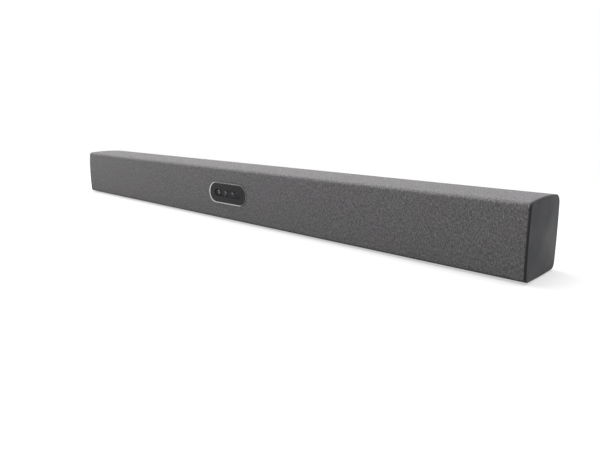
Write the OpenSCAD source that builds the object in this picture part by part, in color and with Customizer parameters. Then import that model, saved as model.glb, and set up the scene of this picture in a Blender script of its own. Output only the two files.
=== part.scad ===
// Conference camera bar: a fabric fronted bar with three cameras behind a window in the middle,
// a sealed speaker box on each side of it, and a service panel with a port bay at the back.
// Millimetres, Z up, X along the bar, the front faces -Y, the origin is on the table under the middle.

/* [Bar] */
// Length over both end caps
bar_w = 1110; // [1090:5:1200]
// Depth at mid height
bar_d = 100; // [99:0.5:106]
// Height from the table to the crown
bar_h = 102.5; // [98:0.5:106]
// How far the front bows out between its corners
front_bow = 2.2; // [1:0.1:3]
// How far the back bows out between its corners
back_bow = 2.2; // [1:0.1:3]
// How far the top bows up between its corners
top_bow = 2.7; // [1:0.1:3.5]
// How far the underside bows down between its corners
bottom_bow = 1; // [0.5:0.1:1.5]
// How far behind the middle the top is highest
crown_y = 5; // [0:0.5:8]
// Radius of the lower front edge
front_bottom_r = 6; // [5:0.5:8]
// Radius of the upper front edge
front_top_r = 6; // [5:0.5:8]
// Radius of the upper back edge
back_top_r = 14; // [12:0.5:15]
// Radius of the lower back edge
back_bottom_r = 9; // [8:0.5:10]

/* [Shell] */
// Wall of the rear housing
housing_wall = 2.5; // [2:0.1:2.8]
// Wall of the grille carrier
carrier_wall = 2; // [1.6:0.1:2.4]
// Thickness of the knitted fabric
fabric_t = 0.9; // [0.6:0.1:1.1]
// Height of the ribs and lips that stand in from the carrier's inner face
rib_h = 1.6; // [1.2:0.1:2]
// Thickness of the ribs along the bar
rib_t = 2; // [1.5:0.1:3]
// Distance between ribs
rib_pitch = 60; // [50:5:80]
// Width of the end caps' rim, as seen from the front
cap_rim = 4; // [3:0.5:6]
// How far the end caps' faces are domed
cap_dome = 1.2; // [0.5:0.1:1.8]
// Radius round the edge of an end cap's face
cap_edge_r = 0.8; // [0.5:0.1:1.2]
// Thickness of the end plates
end_plate_t = 4; // [3.5:0.5:5]

/* [Window] */
// Width of the window over its bezel
window_w = 107; // [100:1:112]
// Height of the window over its bezel
window_h = 40; // [36:0.5:42]
// Width of the bezel's bright face
bezel_face = 1.8; // [1.2:0.1:2.4]
// How far the bezel stands out of the fabric
bezel_proud = 1; // [0.5:0.1:1.5]
// How far the glass sits back inside the bezel
glass_recess = 1.2; // [0.8:0.1:1.4]
// Thickness of the glass
glass_t = 1.5; // [1.2:0.1:1.8]
// Distance between neighbouring cameras, and from the last one to the presence sensor
camera_pitch = 21; // [20:0.5:22]
// Radius of the wide camera's barrel
wide_barrel_r = 6.5; // [5.5:0.1:7]
// Radius of a long camera's barrel
long_barrel_r = 5.2; // [4.5:0.1:6]
// Radius of the presence sensor's barrel
sensor_barrel_r = 3.6; // [3:0.1:4.5]

/* [Speakers] */
// Radius of a woofer's frame
woofer_r = 36; // [34:0.5:38]
// Radius of a woofer's cone
woofer_cone_r = 27; // [25:0.5:28]
// Middle of each full range driver, from the near end of its speaker box
fullrange_in = 37.3; // [33:0.1:50]
// Radius of a full range driver's frame
fullrange_r = 27; // [25.5:0.5:29]
// Radius of a full range driver's cone
fullrange_cone_r = 19; // [17.5:0.5:20]
// Distance between a full range driver and the woofer beside it
speaker_pitch = 94; // [88:1:120]
// Distance from the far end of a speaker box to the end of the shell
box_end_room = 151; // [110:1:160]
// Wall of a speaker box
box_wall = 3; // [2.5:0.1:4]
// Distance from the front of the bar to the front of a speaker box
baffle_back = 12; // [11.5:0.1:14]

/* [Service panel] */
// Width of the recess in the back
panel_w = 256; // [254:1:260]
// Lower edge of the recess
panel_low_z = 10; // [10:0.5:12]
// Distance from the crown of the bar down to the upper edge of the recess
panel_top_gap = 18.5; // [17.5:0.5:20]
// Depth of the recess from the back of the bar
panel_recess = 3.5; // [3:0.1:4]
// Inner width of the port bay
bay_w = 196; // [190:2:204]
// Inner height of the port bay
bay_h = 26; // [24:0.5:28]
// Inner depth of the port bay, from the panel
bay_d = 17; // [15:0.5:18]
// Distance from the end of the recess to the bracket holes
bracket_in = 8; // [7:0.5:12]
// Distance from the port bay up to the lower bracket holes
bracket_rise = 13; // [12:0.5:17]
// Radius of the thread in a bracket insert
insert_bore_r = 1.65; // [1.5:0.05:2]
// Length of a bracket insert
insert_l = 7; // [5:0.5:8]

/* [Feet] */
// How far the feet stand out of the underside
foot_h = 1.5; // [1:0.1:2]
// Length of a foot
foot_l = 44; // [30:1:60]
// Width of a foot
foot_w = 12; // [10:0.5:14]
// Distance from the end of the bar to the middle of a foot
foot_in = 145; // [110:5:200]
// Distance between the middles of the front and back feet
foot_depth = 60; // [50:1:64]

/* [Hidden] */

$fn = 48;

// How far a cut runs past what it cuts
overrun = 4;
// Gap between pieces that lie against each other
fit = 0.1;
// Gap between pieces that slide in beside each other
slip = 0.2;
// Gap between the fabric's edge and the rear housing along each seam
seam_gap = 0.5;
// Smallest radius inside the shell's corners
inner_corner_r = 1.5;
// Steps round each corner and along each side of the outline
corner_steps = 8;
side_steps = 6;

// The shell's outline: four shallow arcs joined by four tangent corners
body_h = bar_h - foot_h;
mid_z = foot_h + body_h / 2;
front_y = -bar_d / 2;
back_y = bar_d / 2;
function side_radius(half, bow) = (half * half + bow * bow) / (2 * bow);
bottom_r = side_radius(bar_d / 2, bottom_bow);
back_r = side_radius(body_h / 2, back_bow);
top_r = side_radius(bar_d / 2, top_bow);
front_r = side_radius(body_h / 2, front_bow);
side_centres = [[0, foot_h + bottom_r], [back_y - back_r, mid_z],
                [crown_y, bar_h - top_r], [front_y + front_r, mid_z]];
side_radii = [bottom_r, back_r, top_r, front_r];
corner_radii = [back_bottom_r, back_top_r, front_top_r, front_bottom_r];
box_corners = [[back_y, foot_h], [back_y, bar_h], [front_y, bar_h], [front_y, foot_h]];

function nearer(p, q, target) = norm(p - target) < norm(q - target) ? p : q;
// Where two circles cross, on the side nearer the target
function circles_meet(a, ra, b, rb, target) =
    let (d = norm(b - a), u = (b - a) / d, t = (d * d + ra * ra - rb * rb) / (2 * d),
         h = sqrt(ra * ra - t * t), across = [-u[1], u[0]])
    nearer(a + u * t + across * h, a + u * t - across * h, target);
function heading(from, to) = atan2(to[1] - from[1], to[0] - from[0]);
function on_circle(centre, r, angle) = centre + r * [cos(angle), sin(angle)];
function arc(centre, r, a0, a1, steps) =
    let (span = (a1 - a0 + 360) % 360) [for (i = [1:steps]) on_circle(centre, r, a0 + span * i / steps)];
function corner_centre(i, r) =
    circles_meet(side_centres[i], side_radii[i] - r, side_centres[(i + 1) % 4], side_radii[(i + 1) % 4] - r,
                 box_corners[i]);
// The outline at a distance inside the outer surface, from the lower front corner and round by the back
function outline(inset) =
    let (radii = [for (r = corner_radii) max(r, inset + inner_corner_r)],
         centres = [for (i = [0:3]) corner_centre(i, radii[i])])
    [for (i = [0:3]) each concat(
        arc(side_centres[i], side_radii[i] - inset, heading(side_centres[i], centres[(i + 3) % 4]),
            heading(side_centres[i], centres[i]), side_steps),
        arc(centres[i], radii[i] - inset, heading(side_centres[i], centres[i]),
            heading(side_centres[(i + 1) % 4], centres[i]), corner_steps))];
// The depth and height of the inner face at a distance inside the outer surface
function front_at(inset, z) = side_centres[3][0] - sqrt(pow(front_r - inset, 2) - pow(z - mid_z, 2));
function floor_at(inset, y) = side_centres[0][1] - sqrt(pow(bottom_r - inset, 2) - pow(y, 2));

// The two seams where fabric meets housing
seam_low_angle = 225;
seam_high_angle = 55;
seam_low = on_circle(corner_centre(3, front_bottom_r), front_bottom_r, seam_low_angle);
seam_high = on_circle(corner_centre(1, back_top_r), back_top_r, seam_high_angle);
seam_along = (seam_high - seam_low) / norm(seam_high - seam_low);
seam_across = [-seam_along[1], seam_along[0]];

// Layers of the front, inwards from the outer surface
carrier_out = fabric_t + fit;
carrier_in = carrier_out + carrier_wall;
lip_out = carrier_in + slip;
lip_in = lip_out + rib_h;
box_inset = lip_in + slip;
lip_reach = 8;

// Ends of the shell and what closes them
shell_x = bar_w / 2 - cap_rim;
plate_in_x = shell_x - slip - cap_rim / 2 - end_plate_t;
plate_out_x = plate_in_x + end_plate_t;
end_boss_l = 20;
end_boss_r = 4.4;
end_boss_inset = 6.2;
end_screw_angles = [[0, 315], [1, 20], [3, 292]];
hook_w = 10;
hook_t = 1.8;
hook_y = 26;
hook_z = 24;
hook_places = [for (y = [-1, 1]) for (z = [-1, 1]) [y * hook_y, mid_z + z * hook_z]];
face_shares = [0.8, 0.55, 0.3];
edge_steps = 4;

// Screws
pilot_r = 1.3;
shank_r = 1.2;
head_r = 2.6;
head_h = 1.8;
long_shank = 12;
short_shank = 5;
hole_r = 1.6;

// Window, from the front inwards
window_r = window_h / 2;
window_half = window_w / 2 - window_r;
bezel_front_y = front_y - bezel_proud;
glass_front_y = bezel_front_y + glass_recess;
glass_back_y = glass_front_y + glass_t;
bezel_chamfer = 0.5;
ledge_w = 1.6;
flange_w = 3;
flange_t = 1.4;
flange_y = front_at(carrier_in, mid_z + window_r + flange_w) + fit;
bezel_back_y = flange_y + flange_t;
holder_y = bezel_back_y + slip;
holder_plate = 2;
holder_d = 15;
holder_rim = 1;
holder_r = window_r + holder_rim;
holder_wall = 2;
holder_ear_out = 7;
holder_ear_back = 5;
holder_ear_x = window_half + holder_r + holder_ear_out;
holder_ear_y = holder_y + holder_ear_back;
holder_ear_z = 9;
holder_ear_r = 4;
holder_ears = [for (x = [-1, 1]) for (z = [-1, 1]) [x * holder_ear_x, mid_z + z * holder_ear_z]];
board_t = 1.6;
camera_board_y = holder_y + holder_d + fit;
module_w = 17;
module_d = 6.5;
barrel_proud = 2.4;
lens_dome = 1.4;
lens_rim = 1.3;
pipe_r = 1.3;
pipe_x = window_half + window_r / 2;
// Name, middle along the bar in pitches, and barrel
cameras = [["left", -1.5, wide_barrel_r], ["middle", -0.5, long_barrel_r], ["right", 0.5, long_barrel_r]];
sensor = ["sensor", 1.5, sensor_barrel_r];

// Microphones
mic_count = 8;
mic_pitch = 24;
mic_up = 31;
mic_z = mid_z + mic_up;
mic_board_h = 8;
mic_board_t = 1.2;
mic_w = 3.6;
mic_h = 2.8;
mic_t = 0.9;
mic_port_r = 0.7;
mic_post_r = 2.4;
mic_post_l = 1.8;
mic_post_xs = [for (i = [-1:1]) i * 3 * mic_pitch];
mic_board_y = front_at(carrier_in, mic_z) + mic_post_l;
function mic_x(i) = (i - (mic_count - 1) / 2) * mic_pitch;

// Speakers
woofer_roll_w = 5;
woofer_cone_d = 12;
woofer_basket_d = 17;
woofer_magnet_r = 26;
woofer_magnet_h = 9;
woofer_coil_r = 12.5;
fullrange_roll_w = 3.5;
fullrange_cone_d = 8;
fullrange_basket_d = 12;
fullrange_magnet_r = 19;
fullrange_magnet_h = 8;
fullrange_coil_r = 9.5;
woofer = [woofer_r, woofer_cone_r, woofer_roll_w, woofer_cone_d,
          woofer_basket_d, woofer_magnet_r, woofer_magnet_h, woofer_coil_r];
fullrange = [fullrange_r, fullrange_cone_r, fullrange_roll_w, fullrange_cone_d,
             fullrange_basket_d, fullrange_magnet_r, fullrange_magnet_h, fullrange_coil_r];
function frame_r(driver) = driver[0];
function cone_r(driver) = driver[1];
function roll_w(driver) = driver[2];
function cone_d(driver) = driver[3];
function basket_d(driver) = driver[4];
function magnet_r(driver) = driver[5];
function magnet_h(driver) = driver[6];
function coil_r(driver) = driver[7];
box_near_x = panel_w / 2 + housing_wall + slip;
box_far_x = shell_x - box_end_room;
fullrange_x = box_near_x + fullrange_in;
woofer_x = fullrange_x + speaker_pitch;
// Name, distance from the middle of the bar, and sizes
speakers = [["woofer", woofer_x, woofer], ["fullrange", fullrange_x, fullrange]];
baffle_y = front_y + baffle_back;
frame_flange = 1.6;
basket_t = 1.5;
cone_t = 0.8;
coil_gap = 1.2;
coil_wall = 0.3;
coil_reach = 5;
yoke_t = 3;
dome_h = 4;
roll_t = 0.6;
glue_w = 2;
ear_out = 1;
ear_r = 3;
ear_angles = [45:90:315];
spoke_angles = [0:60:300];
grille_slot = 3;
grille_pitch = 6;
dome_steps = 6;

// Service panel and port bay
panel_y = back_y - panel_recess;
panel_in_y = panel_y - housing_wall;
panel_high_z = bar_h - panel_top_gap;
bay_wall = 2;
bay_low_z = panel_low_z + bay_wall;
bay_in_y = panel_y - bay_d;
bay_flange_w = 3;
bay_flange_t = 2;
vent_w = 2.6;
vent_end_gap = 1;
vent_count = 20;
vent_pitch = 6;
bracket_w = panel_w - 2 * bracket_in;
bracket_drop = 5;
bracket_low_z = bay_low_z + bay_h + bracket_rise;
bracket_h = panel_high_z - bracket_drop - bracket_low_z;
bracket_z = bracket_low_z + bracket_h / 2;
vent_h = bracket_h - 2 * vent_end_gap;
insert_r = 3.2;
boss_wall = 2;
lock_w = 7;
lock_h = 3;
lock_in = 16;
lock_down = 20;
lock_x = panel_w / 2 - lock_in;
lock_z = mid_z - lock_down;

// Boards, on posts from the floor
post_r = 3;
board_drop = 1.5;
board_z = bay_low_z - board_drop;
board_rear_y = bay_in_y - bay_wall - slip;
board_front_y = holder_y + holder_d;
board_end_in = 16;
board_end_x = panel_w / 2 - board_end_in;
psu_board_w = 68;
board_split_gap = 6;
psu_board_x = [-board_end_x, psu_board_w - board_end_x];
main_board_x = [psu_board_x[1] + board_split_gap, board_end_x];
screw_inset = 4;
screw_rear_gap = 22;
part_z = board_z + board_t + fit;
socket_proud = 0.5;
socket_out_y = bay_in_y + socket_proud;

// Sockets: each shell's width, depth and height, and its mouth's width and height
hdmi_shell = [15, 12, 6.2];
hdmi_mouth = [14, 4.6];
hdmi_x = -4;
hdmi_pitch = 20;
hdmi_xs = [for (i = [-1:1]) hdmi_x + i * hdmi_pitch];
usb_shell = [14.2, 15, 7];
usb_mouth = [12.6, 5.2];
usb_x = 45;
usb_pitch = 18;
usb_xs = [for (side = [-1, 1]) usb_x + side * usb_pitch / 2];
network_shell = [16, 16.5, 13.4];
network_mouth = [11.8, 8.6];
network_x = 74;
inlet_shell = [23, 17, 15];
inlet_mouth = [15.5, 8];
inlet_x = -82;
inlet_pin_r = 1.2;
inlet_pin_x = 4.3;
tongue_t = 1;
tongue_gap = 1.5;
socket_wall = 2;
reset_x = 94;
reset_w = 6;
reset_d = 3.5;
reset_hole_r = 0.9;
plunger_r = 1.5;
plunger_l = 3.4;
reset_travel = 0.5;
reset_z = part_z + reset_w / 2;
reset_front_y = board_rear_y - plunger_l;

// Processor and heatsink
processor_x = 37;
processor_w = 30;
processor_t = 2.2;
sink_w = 104;
sink_base = 4;
sink_h = 44;
fin_t = 1.6;
fin_count = 15;
sink_rear_gap = 19.5;
sink_front_gap = 2;
sink_y = camera_board_y + board_t + sink_front_gap;
sink_d = board_rear_y - sink_rear_gap - sink_y;

// Power supply
transformer_w = 28;
transformer_d = 20;
transformer_h = 22;
transformer_in = 22;
transformer_front_gap = 3;
transformer_x = psu_board_x[0] + transformer_in;
transformer_y = board_front_y + transformer_front_gap + transformer_d / 2;
bobbin_r = 9;
can_in = 16;
can_pitch = 17;
big_can_r = 8;
big_can_h = 26;
small_can_r = 5;
small_can_h = 18;
// Middle from the board's end and front, radius and height
capacitors = [[can_in, can_pitch, big_can_r, big_can_h], [can_in, 2 * can_pitch, small_can_r, small_can_h]];

// Antennas
antenna_w = 34;
antenna_h = 9;
antenna_t = 0.8;
antenna_up = 14;
antenna_z = mid_z + antenna_up;

// Feet
foot_sink = 1.1;

// Runs a YZ outline along the bar from one x to another
module along_x(from, to) {
    translate([from, 0, 0]) rotate([90, 0, 90]) linear_extrude(to - from) children();
}

// Runs an XZ outline through the bar from one y to another
module along_y(from, to) {
    translate([0, to, 0]) rotate([90, 0, 0]) linear_extrude(to - from) children();
}

// A round bar along X
module rod_x(spot, from, to, r) {
    translate([from, spot[0], spot[1]]) rotate([0, 90, 0]) cylinder(h = to - from, r = r);
}

// A round bar along Y
module rod_y(x, z, from, to, r) {
    translate([x, to, z]) rotate([90, 0, 0]) cylinder(h = to - from, r = r);
}

module block(low, high) {
    translate(low) cube(high - low);
}

module stadium(half, r) {
    square([2 * half, 2 * r], center = true);
    for (side = [-1, 1]) translate([side * half, 0]) circle(r);
}

module stadium_up(half, r) {
    rotate(90) stadium(half, r);
}

module ring(outer, inner) {
    difference() {
        polygon(outline(outer));
        polygon(outline(inner));
    }
}

// Everything on one side of the line between the two seams: 1 is the front, -1 is the back
module seam_side(side) {
    reach = bar_d + bar_h;
    near = side * seam_gap / 2 * seam_across;
    far = side * reach * seam_across;
    polygon([seam_low - reach * seam_along + near, seam_high + reach * seam_along + near,
             seam_high + reach * seam_along + far, seam_low - reach * seam_along + far]);
}

// A square patch round each seam, turned to lie along the cut
module seam_patches() {
    for (seam = [seam_low, seam_high])
        translate(seam) rotate(heading(seam_low, seam_high)) square(2 * lip_reach, center = true);
}

module mirror_x(side) {
    if (side < 0) mirror([1, 0, 0]) children();
    else children();
}

// A pan head screw with its head's top at the origin and its shank down -Z
module screw(shank_l) {
    translate([0, 0, -head_h]) cylinder(h = head_h, r = head_r);
    translate([0, 0, -head_h - shank_l]) cylinder(h = shank_l + head_h / 2, r = shank_r);
}

// Where the end plates are screwed to the housing: corner index and direction from its centre
function end_screw(i) =
    let (corner = end_screw_angles[i][0], r = max(corner_radii[corner], end_boss_inset + inner_corner_r))
    on_circle(corner_centre(corner, r), r - end_boss_inset, end_screw_angles[i][1]);
end_screw_spots = [for (i = [0:len(end_screw_angles) - 1]) end_screw(i)];

// Where a board's four screws go
function board_spots(xs) =
    [for (x = [xs[0] + screw_inset, xs[1] - screw_inset])
        for (y = [board_front_y + screw_inset, board_rear_y - screw_rear_gap]) [x, y]];
all_board_spots = concat(board_spots(main_board_x), board_spots(psu_board_x));

// Enclosure
module rear_housing_section() {
    intersection() {
        ring(0, housing_wall);
        seam_side(-1);
    }
}

module seam_lips_section() {
    intersection() {
        ring(lip_out, lip_in);
        seam_patches();
    }
    intersection() {
        ring(housing_wall - fit, lip_in);
        seam_patches();
        seam_side(-1);
    }
}

module rib_section() {
    intersection() {
        ring(housing_wall - fit, lip_in);
        seam_side(-1);
    }
}

module panel_frame() {
    along_x(-panel_w / 2 - housing_wall, panel_w / 2 + housing_wall) intersection() {
        polygon(outline(0));
        translate([panel_in_y, panel_low_z - housing_wall])
            square([bar_d, panel_high_z - panel_low_z + 2 * housing_wall]);
    }
}

// A round bar on one of the four bracket holes
module bracket_rod(x, z, from, to, r) {
    rod_y(x * bracket_w / 2, bracket_z + z * bracket_h / 2, from, to, r);
}

module panel_cuts() {
    block([-panel_w / 2, panel_y, panel_low_z], [panel_w / 2, back_y + overrun, panel_high_z]);
    block([-bay_w / 2, panel_in_y - overrun, bay_low_z], [bay_w / 2, panel_y + overrun, bay_low_z + bay_h]);
    for (i = [0:vent_count - 1])
        translate([(i - (vent_count - 1) / 2) * vent_pitch, 0, bracket_z])
            along_y(panel_in_y - overrun, panel_y + overrun) stadium_up(vent_h / 2 - vent_w / 2, vent_w / 2);
    for (x = [-1, 1]) for (z = [-1, 1])
        bracket_rod(x, z, panel_y - insert_l - fit, panel_y + overrun, insert_r + fit / 2);
    block([lock_x - lock_w / 2, panel_in_y - overrun, lock_z],
          [lock_x + lock_w / 2, panel_y + overrun, lock_z + lock_h]);
}

module rear_housing() {
    color("#26272a") difference() {
        union() {
            along_x(-shell_x, shell_x) rear_housing_section();
            along_x(-plate_in_x + slip, plate_in_x - slip) seam_lips_section();
            for (x = [box_near_x + rib_pitch / 2:rib_pitch:plate_in_x - end_boss_l]) for (side = [-1, 1])
                along_x(side * x - rib_t / 2, side * x + rib_t / 2) rib_section();
            panel_frame();
            for (x = [-1, 1]) for (z = [-1, 1])
                bracket_rod(x, z, panel_y - insert_l - boss_wall, panel_y - fit, insert_r + boss_wall);
            for (spot = all_board_spots)
                translate([spot[0], spot[1], foot_h + housing_wall / 2])
                    cylinder(h = board_z - fit - foot_h - housing_wall / 2, r = post_r);
            for (side = [-1, 1]) mirror_x(side) for (spot = end_screw_spots)
                rod_x(spot, plate_in_x - slip - end_boss_l, plate_in_x - slip, end_boss_r);
        }
        panel_cuts();
        for (spot = all_board_spots)
            translate([spot[0], spot[1], foot_h + housing_wall + fit]) cylinder(h = board_z, r = pilot_r);
        for (side = [-1, 1]) mirror_x(side) for (spot = end_screw_spots)
            rod_x(spot, plate_in_x - end_boss_l + overrun / 2, plate_in_x + overrun, pilot_r);
        for (x = [-1, 1]) for (y = [-1, 1]) foot(x, y, fit);
    }
}

module grille_slots(x, r) {
    count = floor(r / grille_pitch);
    for (i = [-count:count])
        translate([x + i * grille_pitch, mid_z])
            stadium_up(sqrt(r * r - pow(i * grille_pitch, 2)) - grille_slot / 2, grille_slot / 2);
}

module grille_carrier() {
    color("#1d1e20") difference() {
        union() {
            along_x(-shell_x, shell_x) intersection() {
                ring(carrier_out, carrier_in);
                seam_side(1);
            }
            for (ear = holder_ears)
                rod_y(ear[0], ear[1], front_at(carrier_in, mid_z) - fit, holder_ear_y - fit, holder_ear_r);
            for (x = mic_post_xs)
                rod_y(x, mic_z, front_at(carrier_in, mic_z) - fit, mic_board_y - fit, mic_post_r);
        }
        along_y(front_y - overrun, baffle_y) translate([0, mid_z]) stadium(window_half, window_r + fit);
        along_y(front_y - overrun, baffle_y) for (side = [-1, 1]) for (speaker = speakers)
            grille_slots(side * speaker[1], roll_out(speaker[2]));
        for (i = [0:mic_count - 1])
            rod_y(mic_x(i), mic_z, front_y - overrun, mic_board_y, mic_port_r);
        for (ear = holder_ears)
            rod_y(ear[0], ear[1], front_at(carrier_in, mid_z), holder_ear_y + overrun, pilot_r);
    }
}

module fabric_cover() {
    color("#6b6867") difference() {
        along_x(-shell_x, shell_x) intersection() {
            ring(0, fabric_t);
            seam_side(1);
        }
        along_y(front_y - overrun, baffle_y) translate([0, mid_z]) stadium(window_half, window_r + fit);
    }
}

// An end cap's outer body: rings of the outline, drawn in round the edge and then over the dome
function cap_rings() =
    let (edge = outline(cap_edge_r), middle = [0, mid_z], edge_x = cap_rim - cap_dome - cap_edge_r)
    concat(
        [[for (p = outline(0)) [0, p[0], p[1]]]],
        [for (k = [0:edge_steps]) let (a = 90 * k / edge_steps)
            [for (p = outline(cap_edge_r * (1 - cos(a)))) [edge_x + cap_edge_r * sin(a), p[0], p[1]]]],
        [for (s = face_shares) [for (p = edge) let (q = middle + s * (p - middle))
            [cap_rim - cap_dome * s * s, q[0], q[1]]]]);

module cap_body() {
    rings = cap_rings();
    n = len(rings[0]);
    last = len(rings) - 1;
    points = concat([for (ring = rings) each ring], [[cap_rim, 0, mid_z]]);
    faces = concat(
        [[for (i = [0:n - 1]) i]],
        [for (j = [0:last - 1]) for (i = [0:n - 1]) each
            let (a = j * n + i, b = j * n + (i + 1) % n) [[a, a + n, b], [b, a + n, b + n]]],
        [for (i = [0:n - 1]) [last * n + i, len(points) - 1, last * n + (i + 1) % n]]);
    polyhedron(points, faces);
}

// Four arms that reach in through the end plate, each with a barb behind it
module cap_hooks() {
    for (place = hook_places) {
        block([plate_in_x - slip - hook_t, place[0] - hook_w / 2, place[1] - hook_t / 2],
              [shell_x + fit, place[0] + hook_w / 2, place[1] + hook_t / 2]);
        block([plate_in_x - slip - hook_t, place[0] - hook_w / 2, place[1] - hook_t / 2],
              [plate_in_x - slip, place[0] + hook_w / 2, place[1] + hook_t * 3 / 2]);
    }
}

module end_cap(side) {
    color("#4b4c4e") mirror_x(side) {
        translate([shell_x, 0, 0]) cap_body();
        along_x(plate_out_x + slip, shell_x + fit) ring(lip_out, lip_in);
        cap_hooks();
    }
}

module end_plate(side) {
    color("#2b2c2e") mirror_x(side) difference() {
        along_x(plate_in_x, plate_out_x) polygon(outline(lip_out));
        for (spot = end_screw_spots) {
            rod_x(spot, plate_in_x - overrun, plate_out_x + overrun, hole_r);
            rod_x(spot, plate_out_x - head_h - fit, plate_out_x + overrun, head_r + slip);
        }
        for (place = hook_places)
            translate([plate_in_x - overrun, place[0] - hook_w / 2 - slip, place[1] - hook_t / 2 - slip])
                cube([end_plate_t + 2 * overrun, hook_w + 2 * slip, hook_t * 2 + 2 * slip]);
    }
}

module end_plate_screws() {
    color("#8d8f92") for (side = [-1, 1]) mirror_x(side) for (spot = end_screw_spots)
        translate([plate_out_x - fit / 2, spot[0], spot[1]]) rotate([0, 90, 0]) screw(long_shank);
}

module foot(x, y, grow) {
    foot_top = floor_at(0, foot_depth / 2) + foot_sink;
    translate([x * (bar_w / 2 - foot_in), y * foot_depth / 2, 0])
        linear_extrude(foot_top + grow) stadium((foot_l - foot_w) / 2, foot_w / 2 + grow);
}

module rubber_feet() {
    color("#17181a") for (x = [-1, 1]) for (y = [-1, 1]) foot(x, y, 0);
}

module bracket_inserts() {
    color("#c2a25a") for (x = [-1, 1]) for (z = [-1, 1]) difference() {
        bracket_rod(x, z, panel_y - insert_l, panel_y, insert_r);
        bracket_rod(x, z, panel_y - insert_l - overrun, panel_y + overrun, insert_bore_r);
    }
}

// Window and cameras
module window_bezel() {
    color("#c9cacc") translate([0, 0, mid_z]) difference() {
        union() {
            hull() {
                along_y(bezel_front_y, bezel_back_y) stadium(window_half, window_r - bezel_chamfer);
                along_y(bezel_front_y + bezel_chamfer, bezel_back_y) stadium(window_half, window_r);
            }
            along_y(flange_y, bezel_back_y) stadium(window_half, window_r + flange_w);
        }
        along_y(bezel_front_y - overrun, glass_back_y) stadium(window_half, window_r - bezel_face);
        along_y(glass_front_y, bezel_back_y + overrun) stadium(window_half, window_r - bezel_face - ledge_w);
    }
}

module camera_window() {
    color("#15171a", 0.6) translate([0, 0, mid_z])
        along_y(glass_front_y, glass_back_y - fit / 2) stadium(window_half, window_r - bezel_face - fit);
}

// A shallow tray over the window, with an ear block at each end for two screws
module camera_holder() {
    back_y = holder_y + holder_d;
    ear_back_y = holder_ear_y + holder_plate;
    tray_x = window_half + holder_r - holder_wall / 2;
    color("#1a1b1d") difference() {
        union() {
            translate([0, 0, mid_z]) difference() {
                along_y(holder_y, back_y) stadium(window_half, holder_r);
                along_y(holder_y + holder_plate, back_y + overrun)
                    stadium(window_half, holder_r - holder_wall);
            }
            for (side = [-1, 1]) mirror_x(side)
                block([tray_x, holder_ear_y, mid_z - holder_ear_z - holder_ear_r],
                      [holder_ear_x + holder_ear_r, ear_back_y, mid_z + holder_ear_z + holder_ear_r]);
        }
        for (ear = holder_ears)
            rod_y(ear[0], ear[1], holder_ear_y - overrun, ear_back_y + overrun, hole_r);
        for (camera = concat(cameras, [sensor]))
            rod_y(camera[1] * camera_pitch, mid_z, holder_y - overrun, holder_y + holder_plate + fit,
                  camera[2] + slip);
        rod_y(pipe_x, mid_z, holder_y - overrun, holder_y + holder_plate + fit, pipe_r + slip);
    }
}

module camera_holder_screws() {
    head_y = holder_ear_y + holder_plate + fit + head_h;
    color("#8d8f92") for (ear = holder_ears)
        translate([ear[0], head_y, ear[1]]) rotate([-90, 0, 0]) screw(short_shank);
}

module camera_board() {
    color("#1f4a33") translate([0, 0, mid_z]) along_y(camera_board_y, camera_board_y + board_t)
        square([2 * (window_half + holder_r), 2 * (holder_r - holder_wall)], center = true);
}

module camera_module(camera) {
    x = camera[1] * camera_pitch;
    base_y = camera_board_y - fit - module_d;
    color("#101113") difference() {
        union() {
            block([x - module_w / 2, base_y, mid_z - module_w / 2],
                  [x + module_w / 2, base_y + module_d, mid_z + module_w / 2]);
            rod_y(x, mid_z, holder_y - barrel_proud + lens_dome, base_y + fit, camera[2]);
        }
        rod_y(x, mid_z, holder_y - barrel_proud - overrun, holder_y + barrel_proud, camera[2] - lens_rim);
    }
}

// The front element: a plano convex lens seated in its barrel
module camera_lens(camera) {
    r = camera[2] - lens_rim - fit;
    ball_r = side_radius(r, lens_dome);
    front = holder_y - barrel_proud + lens_dome / 2;
    color("#2b3350", 0.8) intersection() {
        rod_y(camera[1] * camera_pitch, mid_z, front - overrun, holder_y + barrel_proud - fit, r);
        translate([camera[1] * camera_pitch, front + ball_r, mid_z]) sphere(ball_r);
    }
}

// The presence sensor is a camera module in small, with its own domed cover
module presence_sensor() {
    camera_module(sensor);
    camera_lens(sensor);
}

module status_light_pipe() {
    color("#e8ecef", 0.6) rod_y(pipe_x, mid_z, holder_y + fit, camera_board_y - fit, pipe_r);
}

// Microphones
module mic_board() {
    half = mic_count * mic_pitch / 2;
    color("#1f4a33") block([-half, mic_board_y, mic_z - mic_board_h / 2],
                           [half, mic_board_y + mic_board_t, mic_z + mic_board_h / 2]);
}

module mic_capsules() {
    color("#b7b9bc") for (i = [0:mic_count - 1])
        block([mic_x(i) - mic_w / 2, mic_board_y - fit - mic_t, mic_z - mic_h / 2],
              [mic_x(i) + mic_w / 2, mic_board_y - fit, mic_z + mic_h / 2]);
}

// Port bay and what opens into it
module socket_hole(x, shell) {
    block([x - shell[0] / 2 - slip, bay_in_y - bay_wall - overrun, part_z - slip],
          [x + shell[0] / 2 + slip, bay_in_y + overrun, part_z + shell[2] + slip]);
}

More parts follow.
